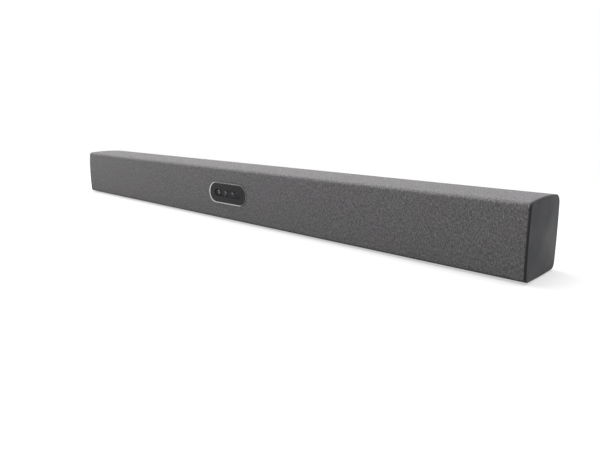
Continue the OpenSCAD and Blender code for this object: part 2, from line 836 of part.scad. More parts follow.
module port_bay() {
    color("#1b1c1e") difference() {
        union() {
            block([-bay_w / 2 - bay_wall, bay_in_y - bay_wall, bay_low_z - bay_wall],
                  [bay_w / 2 + bay_wall, panel_in_y - fit, bay_low_z + bay_h + bay_wall]);
            block([-bay_w / 2 - bay_flange_w, panel_in_y - fit - bay_flange_t, bay_low_z - bay_wall],
                  [bay_w / 2 + bay_flange_w, panel_in_y - fit, bay_low_z + bay_h + bay_flange_w]);
        }
        block([-bay_w / 2, bay_in_y, bay_low_z], [bay_w / 2, panel_y + overrun, bay_low_z + bay_h]);
        for (x = hdmi_xs) socket_hole(x, hdmi_shell);
        for (x = usb_xs) socket_hole(x, usb_shell);
        socket_hole(network_x, network_shell);
        socket_hole(inlet_x, inlet_shell);
        rod_y(reset_x, reset_z, bay_in_y - bay_wall - overrun, bay_in_y + overrun, reset_hole_r);
    }
}

// A socket's body before its mouth is cut, with its front at the back of the bay
module socket_block(x, shell) {
    block([x - shell[0] / 2, socket_out_y - shell[1], part_z],
          [x + shell[0] / 2, socket_out_y, part_z + shell[2]]);
}

module socket_shell(x, shell, mouth) {
    difference() {
        socket_block(x, shell);
        block([x - mouth[0] / 2, socket_out_y - shell[1] + socket_wall, part_z + (shell[2] - mouth[1]) / 2],
              [x + mouth[0] / 2, socket_out_y + overrun, part_z + (shell[2] + mouth[1]) / 2]);
    }
}

module tongued_socket(x, shell, mouth) {
    socket_shell(x, shell, mouth);
    block([x - mouth[0] / 2 + tongue_gap, socket_out_y - shell[1] + fit, part_z + (shell[2] - tongue_t) / 2],
          [x + mouth[0] / 2 - tongue_gap, socket_out_y - tongue_gap, part_z + (shell[2] + tongue_t) / 2]);
}

module hdmi_sockets() {
    color("#9a9c9f") for (x = hdmi_xs) tongued_socket(x, hdmi_shell, hdmi_mouth);
}

module usb_sockets() {
    color("#9a9c9f") for (x = usb_xs) tongued_socket(x, usb_shell, usb_mouth);
}

module network_socket() {
    color("#a4a6a9") socket_shell(network_x, network_shell, network_mouth);
}

module power_inlet() {
    inlet_z = part_z + inlet_shell[2] / 2;
    inlet_in_y = socket_out_y - inlet_shell[1];
    color("#141517") difference() {
        socket_block(inlet_x, inlet_shell);
        translate([inlet_x, 0, inlet_z]) along_y(inlet_in_y + socket_wall, socket_out_y + overrun)
            stadium((inlet_mouth[0] - inlet_mouth[1]) / 2, inlet_mouth[1] / 2);
    }
    color("#b7b9bc") for (x = [inlet_x - inlet_pin_x, inlet_x + inlet_pin_x])
        rod_y(x, inlet_z, inlet_in_y + fit, socket_out_y - socket_wall, inlet_pin_r);
}

// The switch has a well that its button sinks into
module reset_switch() {
    well_y = reset_front_y - reset_travel - slip;
    color("#26272a") difference() {
        block([reset_x - reset_w / 2, reset_front_y - reset_d, part_z],
              [reset_x + reset_w / 2, reset_front_y, part_z + reset_w]);
        rod_y(reset_x, reset_z, well_y - slip, reset_front_y + overrun, plunger_r + fit);
    }
}

module reset_button() {
    base_y = reset_front_y - slip;
    color("#e8e8e4") rod_y(reset_x, reset_z, base_y, base_y + plunger_l, plunger_r);
}

// Boards
module board(xs) {
    color("#1f4a33") difference() {
        block([xs[0], board_front_y, board_z], [xs[1], board_rear_y, board_z + board_t]);
        for (spot = board_spots(xs))
            translate([spot[0], spot[1], board_z - overrun]) cylinder(h = board_t + 2 * overrun, r = hole_r);
    }
}

module board_screws() {
    color("#8d8f92") for (spot = all_board_spots)
        translate([spot[0], spot[1], board_z + board_t + fit + head_h]) screw(short_shank);
}

module processor() {
    half = processor_w / 2;
    mid_y = sink_y + sink_d / 2;
    color("#3a3c40") block([processor_x - half, mid_y - half, part_z],
                           [processor_x + half, mid_y + half, part_z + processor_t]);
}

module heatsink() {
    low_z = part_z + processor_t + fit;
    left_x = processor_x - sink_w / 2;
    fin_step = (sink_w - fin_t) / (fin_count - 1);
    color("#a9abae") translate([left_x, sink_y, low_z]) {
        cube([sink_w, sink_d, sink_base]);
        for (i = [0:fin_count - 1]) translate([i * fin_step, 0, 0]) cube([fin_t, sink_d, sink_h]);
    }
}

// A core with a window on each side of its round bobbin
module psu_transformer() {
    core_t = bobbin_r / 2;
    color("#8a6f2c") translate([transformer_x, transformer_y, part_z]) difference() {
        linear_extrude(transformer_h) square([transformer_w, transformer_d], center = true);
        translate([0, 0, core_t]) linear_extrude(transformer_h - 2 * core_t) difference() {
            square([transformer_w - core_t, transformer_d + overrun], center = true);
            circle(bobbin_r);
        }
    }
}

module psu_capacitors() {
    color("#2a3d5c") for (can = capacitors)
        translate([psu_board_x[1] - can[0], board_front_y + can[1], part_z]) cylinder(h = can[3], r = can[2]);
}

module wifi_antenna(side) {
    color("#1f4a33") mirror_x(side)
        block([plate_in_x - fit - antenna_t, -antenna_w / 2, antenna_z - antenna_h / 2],
              [plate_in_x - fit, antenna_w / 2, antenna_z + antenna_h / 2]);
}

// Speaker boxes and their drivers
function roll_out(d) = cone_r(d) + roll_w(d);
function basket_out(d) = roll_out(d) + slip + basket_t;
function yoke_top(d) = -basket_d(d) - basket_t - fit;
function ear_spot(d, angle) = on_circle([0, 0], frame_r(d) + ear_out, angle);

module speaker_box_section(inset, front) {
    intersection() {
        polygon(outline(inset));
        translate([front, 0]) square([bar_d, bar_h + overrun]);
    }
}

module baffle_hole(spot, r) {
    rod_y(spot[0], spot[1], baffle_y - overrun, baffle_y + box_wall + overrun, r);
}

module speaker_box(side) {
    color("#232427") mirror_x(side) difference() {
        along_x(box_near_x, box_far_x) speaker_box_section(box_inset, baffle_y);
        along_x(box_near_x + box_wall, box_far_x - box_wall)
            speaker_box_section(box_inset + box_wall, baffle_y + box_wall);
        for (speaker = speakers) {
            baffle_hole([speaker[1], mid_z], basket_out(speaker[2]) + slip);
            for (a = ear_angles) baffle_hole([speaker[1], mid_z] + ear_spot(speaker[2], a), pilot_r);
        }
    }
}

// Places a driver drawn round Z, facing +Z from the baffle's front, in its speaker box
module in_baffle(side, x) {
    translate([side * x, baffle_y, mid_z]) rotate([90, 0, 0]) children();
}

// A turned basket with six windows, and four ears for its screws
module driver_frame(d) {
    mouth = roll_out(d) + slip;
    floor_r = magnet_r(d) - basket_t;
    floor_z = -basket_d(d);
    hub = coil_r(d) + coil_gap + slip;
    color("#2d2e31") difference() {
        union() {
            rotate_extrude() polygon([[mouth, frame_flange], [frame_r(d), frame_flange], [frame_r(d), fit],
                [basket_out(d), fit], [basket_out(d), -basket_t], [floor_r + basket_t, floor_z],
                [floor_r + basket_t, floor_z - basket_t], [hub, floor_z - basket_t], [hub, floor_z],
                [floor_r, floor_z], [mouth, -basket_t]]);
            for (a = ear_angles) translate(ear_spot(d, a)) difference() {
                translate([0, 0, fit]) cylinder(h = frame_flange - fit, r = ear_r);
                translate(-ear_spot(d, a)) cylinder(h = 2 * overrun, r = mouth, center = true);
            }
        }
        for (a = spoke_angles) rotate(a) translate([floor_r / 2, -coil_r(d) / 3, floor_z + basket_t])
            cube([frame_r(d), coil_r(d) * 2 / 3, basket_d(d) - 3 * basket_t]);
        for (a = ear_angles) translate(ear_spot(d, a)) cylinder(h = 2 * overrun, r = hole_r, center = true);
    }
}

// A half roll between two flat rims, one on the frame and one on the cone
module driver_surround(d) {
    roll_r = roll_w(d) / 2;
    color("#1b1b1c") translate([0, 0, frame_flange + fit]) rotate_extrude() {
        translate([cone_r(d) + roll_r, 0]) intersection() {
            difference() {
                circle(roll_r);
                circle(roll_r - roll_t);
            }
            translate([-roll_r, 0]) square([2 * roll_r, roll_r]);
        }
        translate([roll_out(d) - roll_t, 0]) square([glue_w, roll_t]);
        translate([cone_r(d) + roll_t - glue_w, 0]) square([glue_w, roll_t]);
    }
}

// The cone, its dust cap and the coil former in one turned profile
module driver_cone(d) {
    edge_z = frame_flange;
    slope = (cone_d(d) + edge_z) / (cone_r(d) - coil_r(d));
    former_in = coil_r(d) - coil_wall;
    former_out = coil_r(d) + coil_wall;
    cap_r = coil_r(d) + glue_w;
    cap_z = edge_z - (cone_r(d) - cap_r) * slope;
    neck_z = edge_z - (cone_r(d) - coil_r(d) + coil_wall) * slope;
    coil_in_z = yoke_top(d) - coil_reach;
    color("#3b3a39") rotate_extrude() polygon(concat(
        [[cone_r(d), edge_z]],
        [for (k = [0:dome_steps]) let (a = 90 * k / dome_steps) [cap_r * cos(a), cap_z + dome_h * sin(a)]],
        [for (k = [dome_steps:-1:0]) let (a = 90 * k / dome_steps)
            [(cap_r - cone_t) * cos(a), cap_z - cone_t * slope + dome_h * sin(a)]],
        [[former_in, neck_z], [former_in, coil_in_z], [former_out, coil_in_z],
         [former_out, neck_z - cone_t], [cone_r(d), edge_z - cone_t]]));
}

// A turned magnet system with a round gap for the coil
module driver_magnet(d) {
    top_z = yoke_top(d);
    plate_z = top_z - yoke_t;
    back_z = plate_z - magnet_h(d);
    gap_out = coil_r(d) + coil_gap;
    gap_in = coil_r(d) - coil_gap;
    color("#77797c") rotate_extrude() polygon([[0, back_z - yoke_t], [magnet_r(d), back_z - yoke_t],
        [magnet_r(d), top_z], [gap_out, top_z], [gap_out, plate_z], [gap_out + yoke_t, plate_z],
        [gap_out + yoke_t, back_z], [gap_in, back_z], [gap_in, top_z], [0, top_z]]);
}

module speaker_screws() {
    color("#8d8f92") for (side = [-1, 1]) for (speaker = speakers) in_baffle(side, speaker[1])
        for (a = ear_angles) translate(ear_spot(speaker[2], a))
            translate([0, 0, frame_flange + fit + head_h]) screw(short_shank);
}

rear_housing();
grille_carrier();
fabric_cover();
end_cap(-1);  // end_cap_left
end_cap(1);  // end_cap_right
end_plate(-1);  // end_plate_left
end_plate(1);  // end_plate_right
end_plate_screws();
rubber_feet();
bracket_inserts();
window_bezel();
camera_window();
camera_holder();
camera_holder_screws();
camera_board();
for (camera = cameras) {
    camera_module(camera);
    camera_lens(camera);
}
presence_sensor();
status_light_pipe();
mic_board();
mic_capsules();
port_bay();
board(main_board_x);  // main_board
processor();
heatsink();
hdmi_sockets();
usb_sockets();
network_socket();
reset_switch();
reset_button();
board(psu_board_x);  // psu_board
psu_transformer();
psu_capacitors();
power_inlet();
board_screws();
wifi_antenna(-1);  // wifi_antenna_left
wifi_antenna(1);  // wifi_antenna_right
speaker_box(-1);  // speaker_box_left
speaker_box(1);  // speaker_box_right
speaker_screws();
for (speaker = speakers) for (hand = [["left", -1], ["right", 1]]) in_baffle(hand[1], speaker[1]) {
    driver_frame(speaker[2]);
    driver_cone(speaker[2]);
    driver_surround(speaker[2]);
    driver_magnet(speaker[2]);
}
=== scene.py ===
"""Looks of the conference camera bar: knitted cover, moulded caps, window, lenses, studio.

Metres, in the frame of the CAD part: X along the bar, the front faces -Y, Z up from the table.
"""
import math

import bmesh
import bpy
import numpy as np
from mathutils import Matrix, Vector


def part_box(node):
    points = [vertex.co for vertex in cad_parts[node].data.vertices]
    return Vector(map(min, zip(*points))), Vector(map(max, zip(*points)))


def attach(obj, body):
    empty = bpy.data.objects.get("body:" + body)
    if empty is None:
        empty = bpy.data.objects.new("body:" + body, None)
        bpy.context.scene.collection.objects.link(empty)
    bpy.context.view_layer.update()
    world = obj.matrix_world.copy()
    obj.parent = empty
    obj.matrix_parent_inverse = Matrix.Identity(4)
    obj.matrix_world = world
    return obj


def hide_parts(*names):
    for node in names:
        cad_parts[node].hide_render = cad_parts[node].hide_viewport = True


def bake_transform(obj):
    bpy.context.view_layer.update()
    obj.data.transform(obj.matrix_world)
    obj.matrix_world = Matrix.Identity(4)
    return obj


bl_info = {
    "name": "Camera bar finishes",
    "version": (1, 0, 0),
    "blender": (4, 5, 0),
    "location": "3D Viewport > Sidebar > Camera bar",
    "description": "Knitted cover, moulded caps, window and finishes for a conference camera bar",
    "category": "Add Mesh",
}

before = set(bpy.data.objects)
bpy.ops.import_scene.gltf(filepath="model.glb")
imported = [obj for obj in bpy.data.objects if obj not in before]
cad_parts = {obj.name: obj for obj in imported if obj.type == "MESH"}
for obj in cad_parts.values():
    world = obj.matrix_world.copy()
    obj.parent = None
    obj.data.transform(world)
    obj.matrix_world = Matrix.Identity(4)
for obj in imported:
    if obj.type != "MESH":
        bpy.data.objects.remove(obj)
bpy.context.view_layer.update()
MM = 0.001
LEAST_CORNER = 1.5 * MM  # Smallest radius that an inset corner of the shell keeps inside it
SAME_POINT = 2e-6  # Points of a mesh nearer than this are merged


def linear(code):
    """Colour from sRGB hex: c / 12.92 up to 0.04045, and ((c + 0.055) / 1.055) ^ 2.4 above it."""
    c = np.array([int(code[i:i + 2], 16) for i in (1, 3, 5)]) / 255
    return tuple(np.where(c <= 0.04045, c / 12.92, ((c + 0.055) / 1.055) ** 2.4)) + (1.0,)


# Sizes and colours

def length(name, text, mm):
    return bpy.props.FloatProperty(name=name, description=text, default=mm * MM, min=0.0, unit="LENGTH",
                                   precision=5)


def colour(name, text, code):
    return bpy.props.FloatVectorProperty(name=name, description=text, default=linear(code), size=4,
                                         min=0.0, max=1.0, subtype="COLOR")


class ShellSizes(bpy.types.PropertyGroup):
    """The shell's outline, as in the CAD part."""
    front_bow: length("Front bow", "How far the front bows out between its corners", 2.2)
    back_bow: length("Back bow", "How far the back bows out between its corners", 2.2)
    top_bow: length("Top bow", "How far the top bows up between its corners", 2.7)
    bottom_bow: length("Bottom bow", "How far the underside bows down between its corners", 1.0)
    crown: length("Crown", "How far behind the middle the top is highest", 5.0)
    front_bottom_r: length("Lower front radius", "Radius of the lower front edge", 6.0)
    front_top_r: length("Upper front radius", "Radius of the upper front edge", 6.0)
    back_top_r: length("Upper back radius", "Radius of the upper back edge", 14.0)
    back_bottom_r: length("Lower back radius", "Radius of the lower back edge", 9.0)
    cap_rim: length("Cap rim", "Width of an end cap's rim, seen from the front", 4.0)
    cap_dome: length("Cap dome", "How far an end cap's face is domed", 1.2)
    cap_edge_r: length("Cap edge", "Radius round the edge of an end cap's face", 0.8)


class CoverSizes(bpy.types.PropertyGroup):
    """The knitted cover over the front and the top."""
    cloth: length("Cloth", "Thickness of the knit", 0.9)
    tuck: length("Tuck", "How deep the knit turns in along its edges", 0.55)
    tuck_w: length("Tuck width", "Width of the strip that turns in", 1.8)
    stitch: length("Stitch", "Width of one stitch, drawn coarser than a real one so that it shows", 1.2)
    patch: length("Window patch", "Half width of the part of the cover that is cut round the window", 75.0)


class WindowSizes(bpy.types.PropertyGroup):
    """The window, its bezel and what lies behind the glass."""
    bezel_face: length("Bezel face", "Width of the bezel's bright face", 1.8)
    bezel_chamfer: length("Bezel edge", "Radius round the bezel's outer front edge", 0.3)
    bezel_land: length("Bezel land", "Width of the flat between the bezel's edge and its bright cut", 0.5)
    ledge: length("Ledge", "Width of the ledge that the glass lies on", 1.6)
    flange: length("Flange", "How far the bezel's flange reaches behind the carrier", 3.0)
    flange_t: length("Flange thickness", "Thickness of the bezel's flange", 1.4)
    glass_edge: length("Glass edge", "Width of the ground edge round the glass", 0.35)
    clear_strip: length("Clear strip", "Half height of the clear strip in the print before the lenses", 7.0)


class SurroundSizes(bpy.types.PropertyGroup):
    """The rubber surrounds of the speaker cones."""
    skin: length("Skin", "Thickness of the rubber", 0.6)
    lip: length("Lip", "Width of the glued lips", 2.0)


class Colours(bpy.types.PropertyGroup):
    """The colours that someone may want to change."""
    yarn_dark: colour("Dark yarn", "The darkest fibres of the knit", "#484749")
    yarn_mid: colour("Mid yarn", "Most of the knit", "#7b797a")
    yarn_light: colour("Light yarn", "The lightest fibres of the knit", "#b0aeaf")
    cap: colour("End caps", "Moulded end caps", "#222327")
    housing: colour("Housing", "Moulded rear housing", "#303134")
    bezel: colour("Bezel", "Anodised body of the bezel", "#7c7d80")
    bezel_cut: colour("Bezel edge", "Bright edge cut into the bezel", "#c6c7ca")
    glass: colour("Glass", "Tint of the window", "#0b0c0e")


def sizes():
    return bpy.context.scene.bar_shell, bpy.context.scene.bar_cover, bpy.context.scene.bar_window


# The shell's outline

def circles_meet(a, ra, b, rb, target):
    """Where two circles cross, on the side nearer the target."""
    d = np.linalg.norm(b - a)
    u = (b - a) / d
    t = (d * d + ra * ra - rb * rb) / (2 * d)
    across = np.array([-u[1], u[0]]) * math.sqrt(ra * ra - t * t)
    ends = [a + u * t + across, a + u * t - across]
    return min(ends, key=lambda p: np.linalg.norm(p - target))


def heading(a, b):
    return math.atan2(b[1] - a[1], b[0] - a[0])


def shell_arcs(inset=0.0):
    """The outline as eight tangent arcs (centre, radius, first angle, last angle), counted with rising angle.

    Each side is an arc of radius (half^2 + bow^2) / (2 bow), and each corner is the circle that touches both
    of its sides from inside. At an inset every radius shrinks by it, and a corner that would vanish keeps the
    least radius.
    """
    s = sizes()[0]
    low, high = (np.array(v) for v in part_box("rear_housing"))
    crown_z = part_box("fabric_cover")[1].z
    front, back, foot = -high[1], high[1], low[2]
    mid, half_h, half_d = (foot + crown_z) / 2, (crown_z - foot) / 2, (back - front) / 2
    side_r = [(h * h + bow * bow) / (2 * bow) for h, bow in
              ((half_d, s.bottom_bow), (half_h, s.back_bow), (half_d, s.top_bow), (half_h, s.front_bow))]
    side_c = [np.array(c) for c in ((0, foot + side_r[0]), (back - side_r[1], mid),
                                    (s.crown, crown_z - side_r[2]), (front + side_r[3], mid))]
    radii = [max(r, inset + LEAST_CORNER)
             for r in (s.back_bottom_r, s.back_top_r, s.front_top_r, s.front_bottom_r)]
    spots = [np.array(c) for c in ((back, foot), (back, crown_z), (front, crown_z), (front, foot))]
    corner = [circles_meet(side_c[i], side_r[i] - radii[i], side_c[i - 3], side_r[i - 3] - radii[i], spots[i])
              for i in range(4)]
    arcs = []
    for i in range(4):
        before, after = corner[i - 1], corner[i]
        turn = heading(side_c[i - 3], after)
        arcs.append((side_c[i], side_r[i] - inset, heading(side_c[i], before), heading(side_c[i], after)))
        arcs.append((after, radii[i] - inset, heading(side_c[i], after), turn))
    return [(c, r, a, a + (b - a) % (2 * math.pi)) for c, r, a, b in arcs]


def outline(inset, side_steps=14, corner_steps=12):
    """Points (y, z) right round the outline at an inset, with the same count at every inset."""
    rows = []
    for i, (c, r, a, b) in enumerate(shell_arcs(inset)):
        t = np.linspace(a, b, (corner_steps if i % 2 else side_steps) + 1)[1:]
        rows.append(c + r * np.stack([np.cos(t), np.sin(t)], 1))
    return np.concatenate(rows)


def middle():
    return (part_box("rear_housing")[0].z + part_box("fabric_cover")[1].z) / 2


# Meshes

def piece(name, points, faces, material, node=None, uv=None, sharp=35, closed=True, body="bar"):
    """A mesh from arrays: doubles merged, normals outwards, smooth up to the sharp angle in degrees, riding
    on its body, or on none where it is to be blended between two."""
    mesh = bpy.data.meshes.new(name)
    points, faces = np.asarray(points, np.float32), np.asarray(faces, np.int32)
    mesh.vertices.add(len(points))
    mesh.vertices.foreach_set("co", points.ravel())
    mesh.loops.add(faces.size)
    mesh.loops.foreach_set("vertex_index", faces.ravel())
    mesh.polygons.add(len(faces))
    mesh.polygons.foreach_set("loop_start", np.arange(len(faces), dtype=np.int32) * faces.shape[1])
    mesh.update(calc_edges=True)
    if uv is not None:
        layer = mesh.uv_layers.new(name="UVMap")
        layer.uv.foreach_set("vector", np.asarray(uv, np.float32)[faces.ravel()].ravel())
    work = bmesh.new()
    work.from_mesh(mesh)
    bmesh.ops.remove_doubles(work, verts=work.verts, dist=SAME_POINT)
    if closed:
        bmesh.ops.recalc_face_normals(work, faces=work.faces)
    work.to_mesh(mesh)
    work.free()
    mesh.polygons.foreach_set("use_smooth", np.ones(len(mesh.polygons), bool))
    mesh.set_sharp_from_angle(angle=math.radians(sharp))
    mesh.materials.append(material)
    made = bpy.data.objects.new(name, mesh)
    bpy.context.scene.collection.objects.link(made)
    if body:
        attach(made, body)
    if node:
        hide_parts(node)
    return made


def grid_faces(rows, columns, wrap=False):
    """Quads of a grid of rows x columns points, joined round along the columns if wrap."""
    index = np.arange(rows * columns).reshape(rows, columns)
    right = np.roll(index, -1, 1) if wrap else index[:, 1:]
    left = index if wrap else index[:, :-1]
    return np.stack([left[:-1], right[:-1], right[1:], left[1:]], -1).reshape(-1, 4)


def loft(rings):
    """Points and quads of closed rings (rings, points, 3), joined in order."""
    rings = np.asarray(rings, float)
    return rings.reshape(-1, 3), grid_faces(rings.shape[0], rings.shape[1], wrap=True)


def joined(*parts):
    """Several (points, quads) as one."""
    points, faces, start = [], [], 0
    for p, f in parts:
        points.append(p)
        faces.append(np.asarray(f) + start)
        start += len(p)
    return np.concatenate(points), np.concatenate(faces)


def stadium_sweep(profile, half, z, steps=24):
    """A profile of (radius, y) carried round a stadium: x = core + radius cos a, z = z + radius sin a,
    where the core is +half on the right turn and -half on the left one."""
    profile = np.asarray(profile, float)
    a = np.concatenate([np.linspace(-90, 90, steps + 1), np.linspace(90, 270, steps + 1)])
    core = np.where(np.arange(len(a)) <= steps, half, -half)
    a = np.radians(a)
    r, y = profile[:, :1], profile[:, 1:]
    return loft(np.stack([core + r * np.cos(a), y + 0 * a, z + r * np.sin(a)], -1))


def turned(profile, x, z, steps=32):
    """A profile of (radius, y) turned round an axis along Y through (x, z)."""
    profile = np.asarray(profile, float)
    a = np.linspace(0, 2 * math.pi, steps, endpoint=False)
    r, y = profile[:, :1], profile[:, 1:]
    return loft(np.stack([x + r * np.cos(a), y + 0 * a, z + r * np.sin(a)], -1))


def quarter(centre, r, first, last, steps=4):
    """Points of an arc between two angles in degrees."""
    a = np.radians(np.linspace(first, last, steps + 1))
    return np.stack([centre[0] + r * np.cos(a), centre[1] + r * np.sin(a)], 1)


# Finishes

def put(tree, kind, inputs=None, stops=(), **settings):
    """Adds a node with its settings and colour stops, and sets its inputs or links them. An input that is
    given as a node takes that node's first output."""
    node = tree.nodes.new("ShaderNode" + kind)
    for key, value in settings.items():
        setattr(node, key, value)
    for key, value in (inputs or {}).items():
        if isinstance(value, bpy.types.Node):
            value = value.outputs[0]
        if isinstance(value, bpy.types.NodeSocket):
            tree.links.new(value, node.inputs[key])
        else:
            node.inputs[key].default_value = value
    for _ in stops[2:]:
        node.color_ramp.elements.new(0.5)
    for i, (place, value) in enumerate(stops):
        node.color_ramp.elements[i].position, node.color_ramp.elements[i].color = place, value
    return node


def blank(name):
    material = bpy.data.materials.new(name)
    material.use_nodes = True
    material.node_tree.nodes.clear()
    return material, material.node_tree


def close(tree, shader):
    put(tree, "OutputMaterial", {"Surface": shader})


def shade(code, share):
    """A colour made lighter or darker by a share."""
    c = linear(code) if isinstance(code, str) else tuple(code)
    return tuple(min(1.0, v * share) for v in c[:3]) + (1.0,)


def heathered_knit():
    """Heathered polyester knit: rows of small stitches in yarn spun from dark, mid and pale fibres. It is an
    even grey from afar and flecked from near, matt, with a faint bloom of loose fibres."""
    cover, c = sizes()[1], bpy.context.scene.bar_colours
    material, tree = blank("heathered_knit")
    uv = put(tree, "UVMap", uv_map="UVMap")
    # Each stitch takes its tone from its own length of yarn, with a groove round it. Rows run up the front
    turned_uv = put(tree, "Mapping", {"Vector": uv, "Rotation": (0, 0, math.pi / 2)})
    # The groove between the stitches is painted shade: a colour darker than the darkest yarn
    rows = put(tree, "TexBrick", {
        "Vector": turned_uv, "Scale": 1.0, "Color1": c.yarn_dark, "Color2": c.yarn_light,
        "Mortar": shade(c.yarn_dark, 0.85), "Mortar Size": 0.12 * cover.stitch, "Mortar Smooth": 0.9,
        "Brick Width": cover.stitch, "Row Height": 0.7 * cover.stitch})
    # Runs of darker and paler fibre go on for a few stitches along the row
    along = put(tree, "Mapping", {"Vector": uv, "Scale": (0.7 / cover.stitch, 0.3 / cover.stitch, 1)})
    runs = put(tree, "TexNoise", {"Vector": along, "Scale": 1.0, "Detail": 3.0, "Roughness": 0.7},
               noise_dimensions="2D")
    spun = put(tree, "ValToRGB", {"Fac": runs}, [
        (0.3, c.yarn_dark), (0.5, shade(c.yarn_mid, 0.95)), (0.62, shade(c.yarn_mid, 1.15)),
        (0.74, shade(c.yarn_light, 1.25))])
    yarn = put(tree, "Mix", {"Factor": 0.5, "A": rows, "B": spun}, data_type="RGBA")
    # The dye drifts a little over a hand's width, warmer one way and greener the other
    drift = put(tree, "TexNoise", {"Vector": uv, "Scale": 14.0, "Detail": 2.0}, noise_dimensions="2D")
    tint = put(tree, "ValToRGB", {"Fac": drift},
               [(0.35, (0.985, 1.0, 0.98, 1)), (0.65, (1.0, 0.985, 1.0, 1))])
    dyed = put(tree, "Mix", {"Factor": 1.0, "A": yarn.outputs[2], "B": tint},
               data_type="RGBA", blend_type="MULTIPLY")
    fibres = put(tree, "TexNoise", {"Vector": uv, "Scale": 3.0 / cover.stitch, "Detail": 2.0},
                 noise_dimensions="2D")
    # Height: the fibres, less the groove round each stitch
    height = put(tree, "Math", {0: rows.outputs["Fac"], 1: -0.8, 2: fibres}, operation="MULTIPLY_ADD")
    bump = put(tree, "Bump", {"Height": height, "Strength": 0.5, "Distance": 0.3 * MM})
    close(tree, put(tree, "BsdfPrincipled", {
        "Base Color": dyed.outputs[2], "Roughness": 0.95, "Specular IOR Level": 0.15,
        "Sheen Weight": 0.18, "Sheen Roughness": 0.5, "Sheen Tint": (0.9, 0.9, 0.9, 1), "Normal": bump}))
    return material


def moulded(name, base, rough=0.5, grain=0.45, depth=0.05, patch=0.08, shine=0.5):
    """Injection moulded plastic with a spark eroded grain: an even colour, a soft broken highlight, and a
    slightly smoother look where it has been handled. Grain and depth are in millimetres."""
    material, tree = blank(name)
    place = put(tree, "TexCoord").outputs["Object"]
    pits = put(tree, "TexNoise", {"Vector": place, "Scale": 1 / (grain * MM), "Detail": 3.0,
                                  "Roughness": 0.6})
    wear = put(tree, "TexNoise", {"Vector": place, "Scale": 22.0, "Detail": 3.0})
    both = put(tree, "Mix", {"Factor": 0.5, "A": pits, "B": wear}, data_type="FLOAT")
    tone = put(tree, "ValToRGB", {"Fac": both},
               [(0.35, shade(base, 1 - patch)), (0.65, shade(base, 1 + patch))])
    polish = put(tree, "MapRange", {"Value": wear, "From Min": 0.3, "From Max": 0.7, "To Min": rough - 0.06,
                                    "To Max": rough + 0.06})
    bump = put(tree, "Bump", {"Height": pits, "Strength": 0.5, "Distance": depth * MM})
    close(tree, put(tree, "BsdfPrincipled", {"Base Color": tone, "Roughness": polish, "IOR": 1.53,
                                             "Specular IOR Level": shine, "Normal": bump}))
    return material


def metal(name, base, rough=0.3, streak=(0.15, 6.0, 6.0), spread=0.08, depth=0.01):
    """Bare or plated metal with fine working marks along one axis: a bright highlight drawn out across them.
    Streak gives the marks' spacing in millimetres along X, Y and Z."""
    material, tree = blank(name)
    place = put(tree, "TexCoord").outputs["Object"]
    lines = put(tree, "Mapping", {"Vector": place, "Scale": tuple(1 / (v * MM) for v in streak)})
    marks = put(tree, "TexNoise", {"Vector": lines, "Scale": 1.0, "Detail": 2.0})
    tone = put(tree, "ValToRGB", {"Fac": marks}, [(0.3, shade(base, 0.9)), (0.7, shade(base, 1.05))])
    polish = put(tree, "MapRange", {"Value": marks, "To Min": rough - spread, "To Max": rough + spread})
    bump = put(tree, "Bump", {"Height": marks, "Strength": 0.4, "Distance": depth * MM})
    close(tree, put(tree, "BsdfPrincipled", {"Base Color": tone, "Metallic": 1.0,
                                             "Roughness": polish, "Normal": bump}))
    return material


def printed_glass():
    """Toughened glass, printed black behind: near black and mirror smooth, with a dim reflection. A strip
    before the lenses is clear and coated against glare: it reflects nothing and shows them through a grey
    haze, which is painted reflection in place of the glass's dim one."""
    material, tree = blank("coated_toughened_glass")
    tint, window = bpy.context.scene.bar_colours.glass, sizes()[2]
    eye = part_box("presence_sensor")
    place = put(tree, "TexCoord").outputs["Object"]
    film = put(tree, "TexNoise", {"Vector": place, "Scale": 30.0, "Detail": 2.0})
    tone = put(tree, "ValToRGB", {"Fac": film}, [(0.3, shade(tint, 0.9)), (0.7, shade(tint, 1.2))])
    smear = put(tree, "MapRange", {"Value": film, "To Min": 0.02, "To Max": 0.06})
    # Distance from the row of lenses: how far x is past its last eye, and z from its middle
    spot = put(tree, "SeparateXYZ", {"Vector": place})
    x = put(tree, "Math", {0: spot.outputs["X"]}, operation="ABSOLUTE")
    x = put(tree, "Math", {0: x, 1: (eye[0].x + eye[1].x) / 2}, operation="SUBTRACT")
    x = put(tree, "Math", {0: x, 1: 0.0}, operation="MAXIMUM")
    z = put(tree, "Math", {0: spot.outputs["Z"], 1: middle()}, operation="SUBTRACT")
    apart = put(tree, "CombineXYZ", {"X": x, "Y": z})
    away = put(tree, "VectorMath", {0: apart}, operation="LENGTH").outputs["Value"]
    printed = put(tree, "MapRange", {"Value": away, "From Min": 0.95 * window.clear_strip,
                                     "From Max": window.clear_strip})
    # Grey haze in the strip: painted reflection in the base colour, where the glass reflects nothing
    print_and_painted_reflection = put(tree, "Mix", {"Factor": printed, "A": linear("#505053"), "B": tone}, data_type="RGBA")
    solid = put(tree, "MapRange", {"Value": printed, "To Min": 0.3, "To Max": 1.0})
    glare = put(tree, "Math", {0: printed, 1: 0.22}, operation="MULTIPLY")
    close(tree, put(tree, "BsdfPrincipled", {"Base Color": print_and_painted_reflection.outputs[2], "Roughness": smear, "IOR": 1.5,
                                             "Specular IOR Level": glare, "Alpha": solid}))
    return material


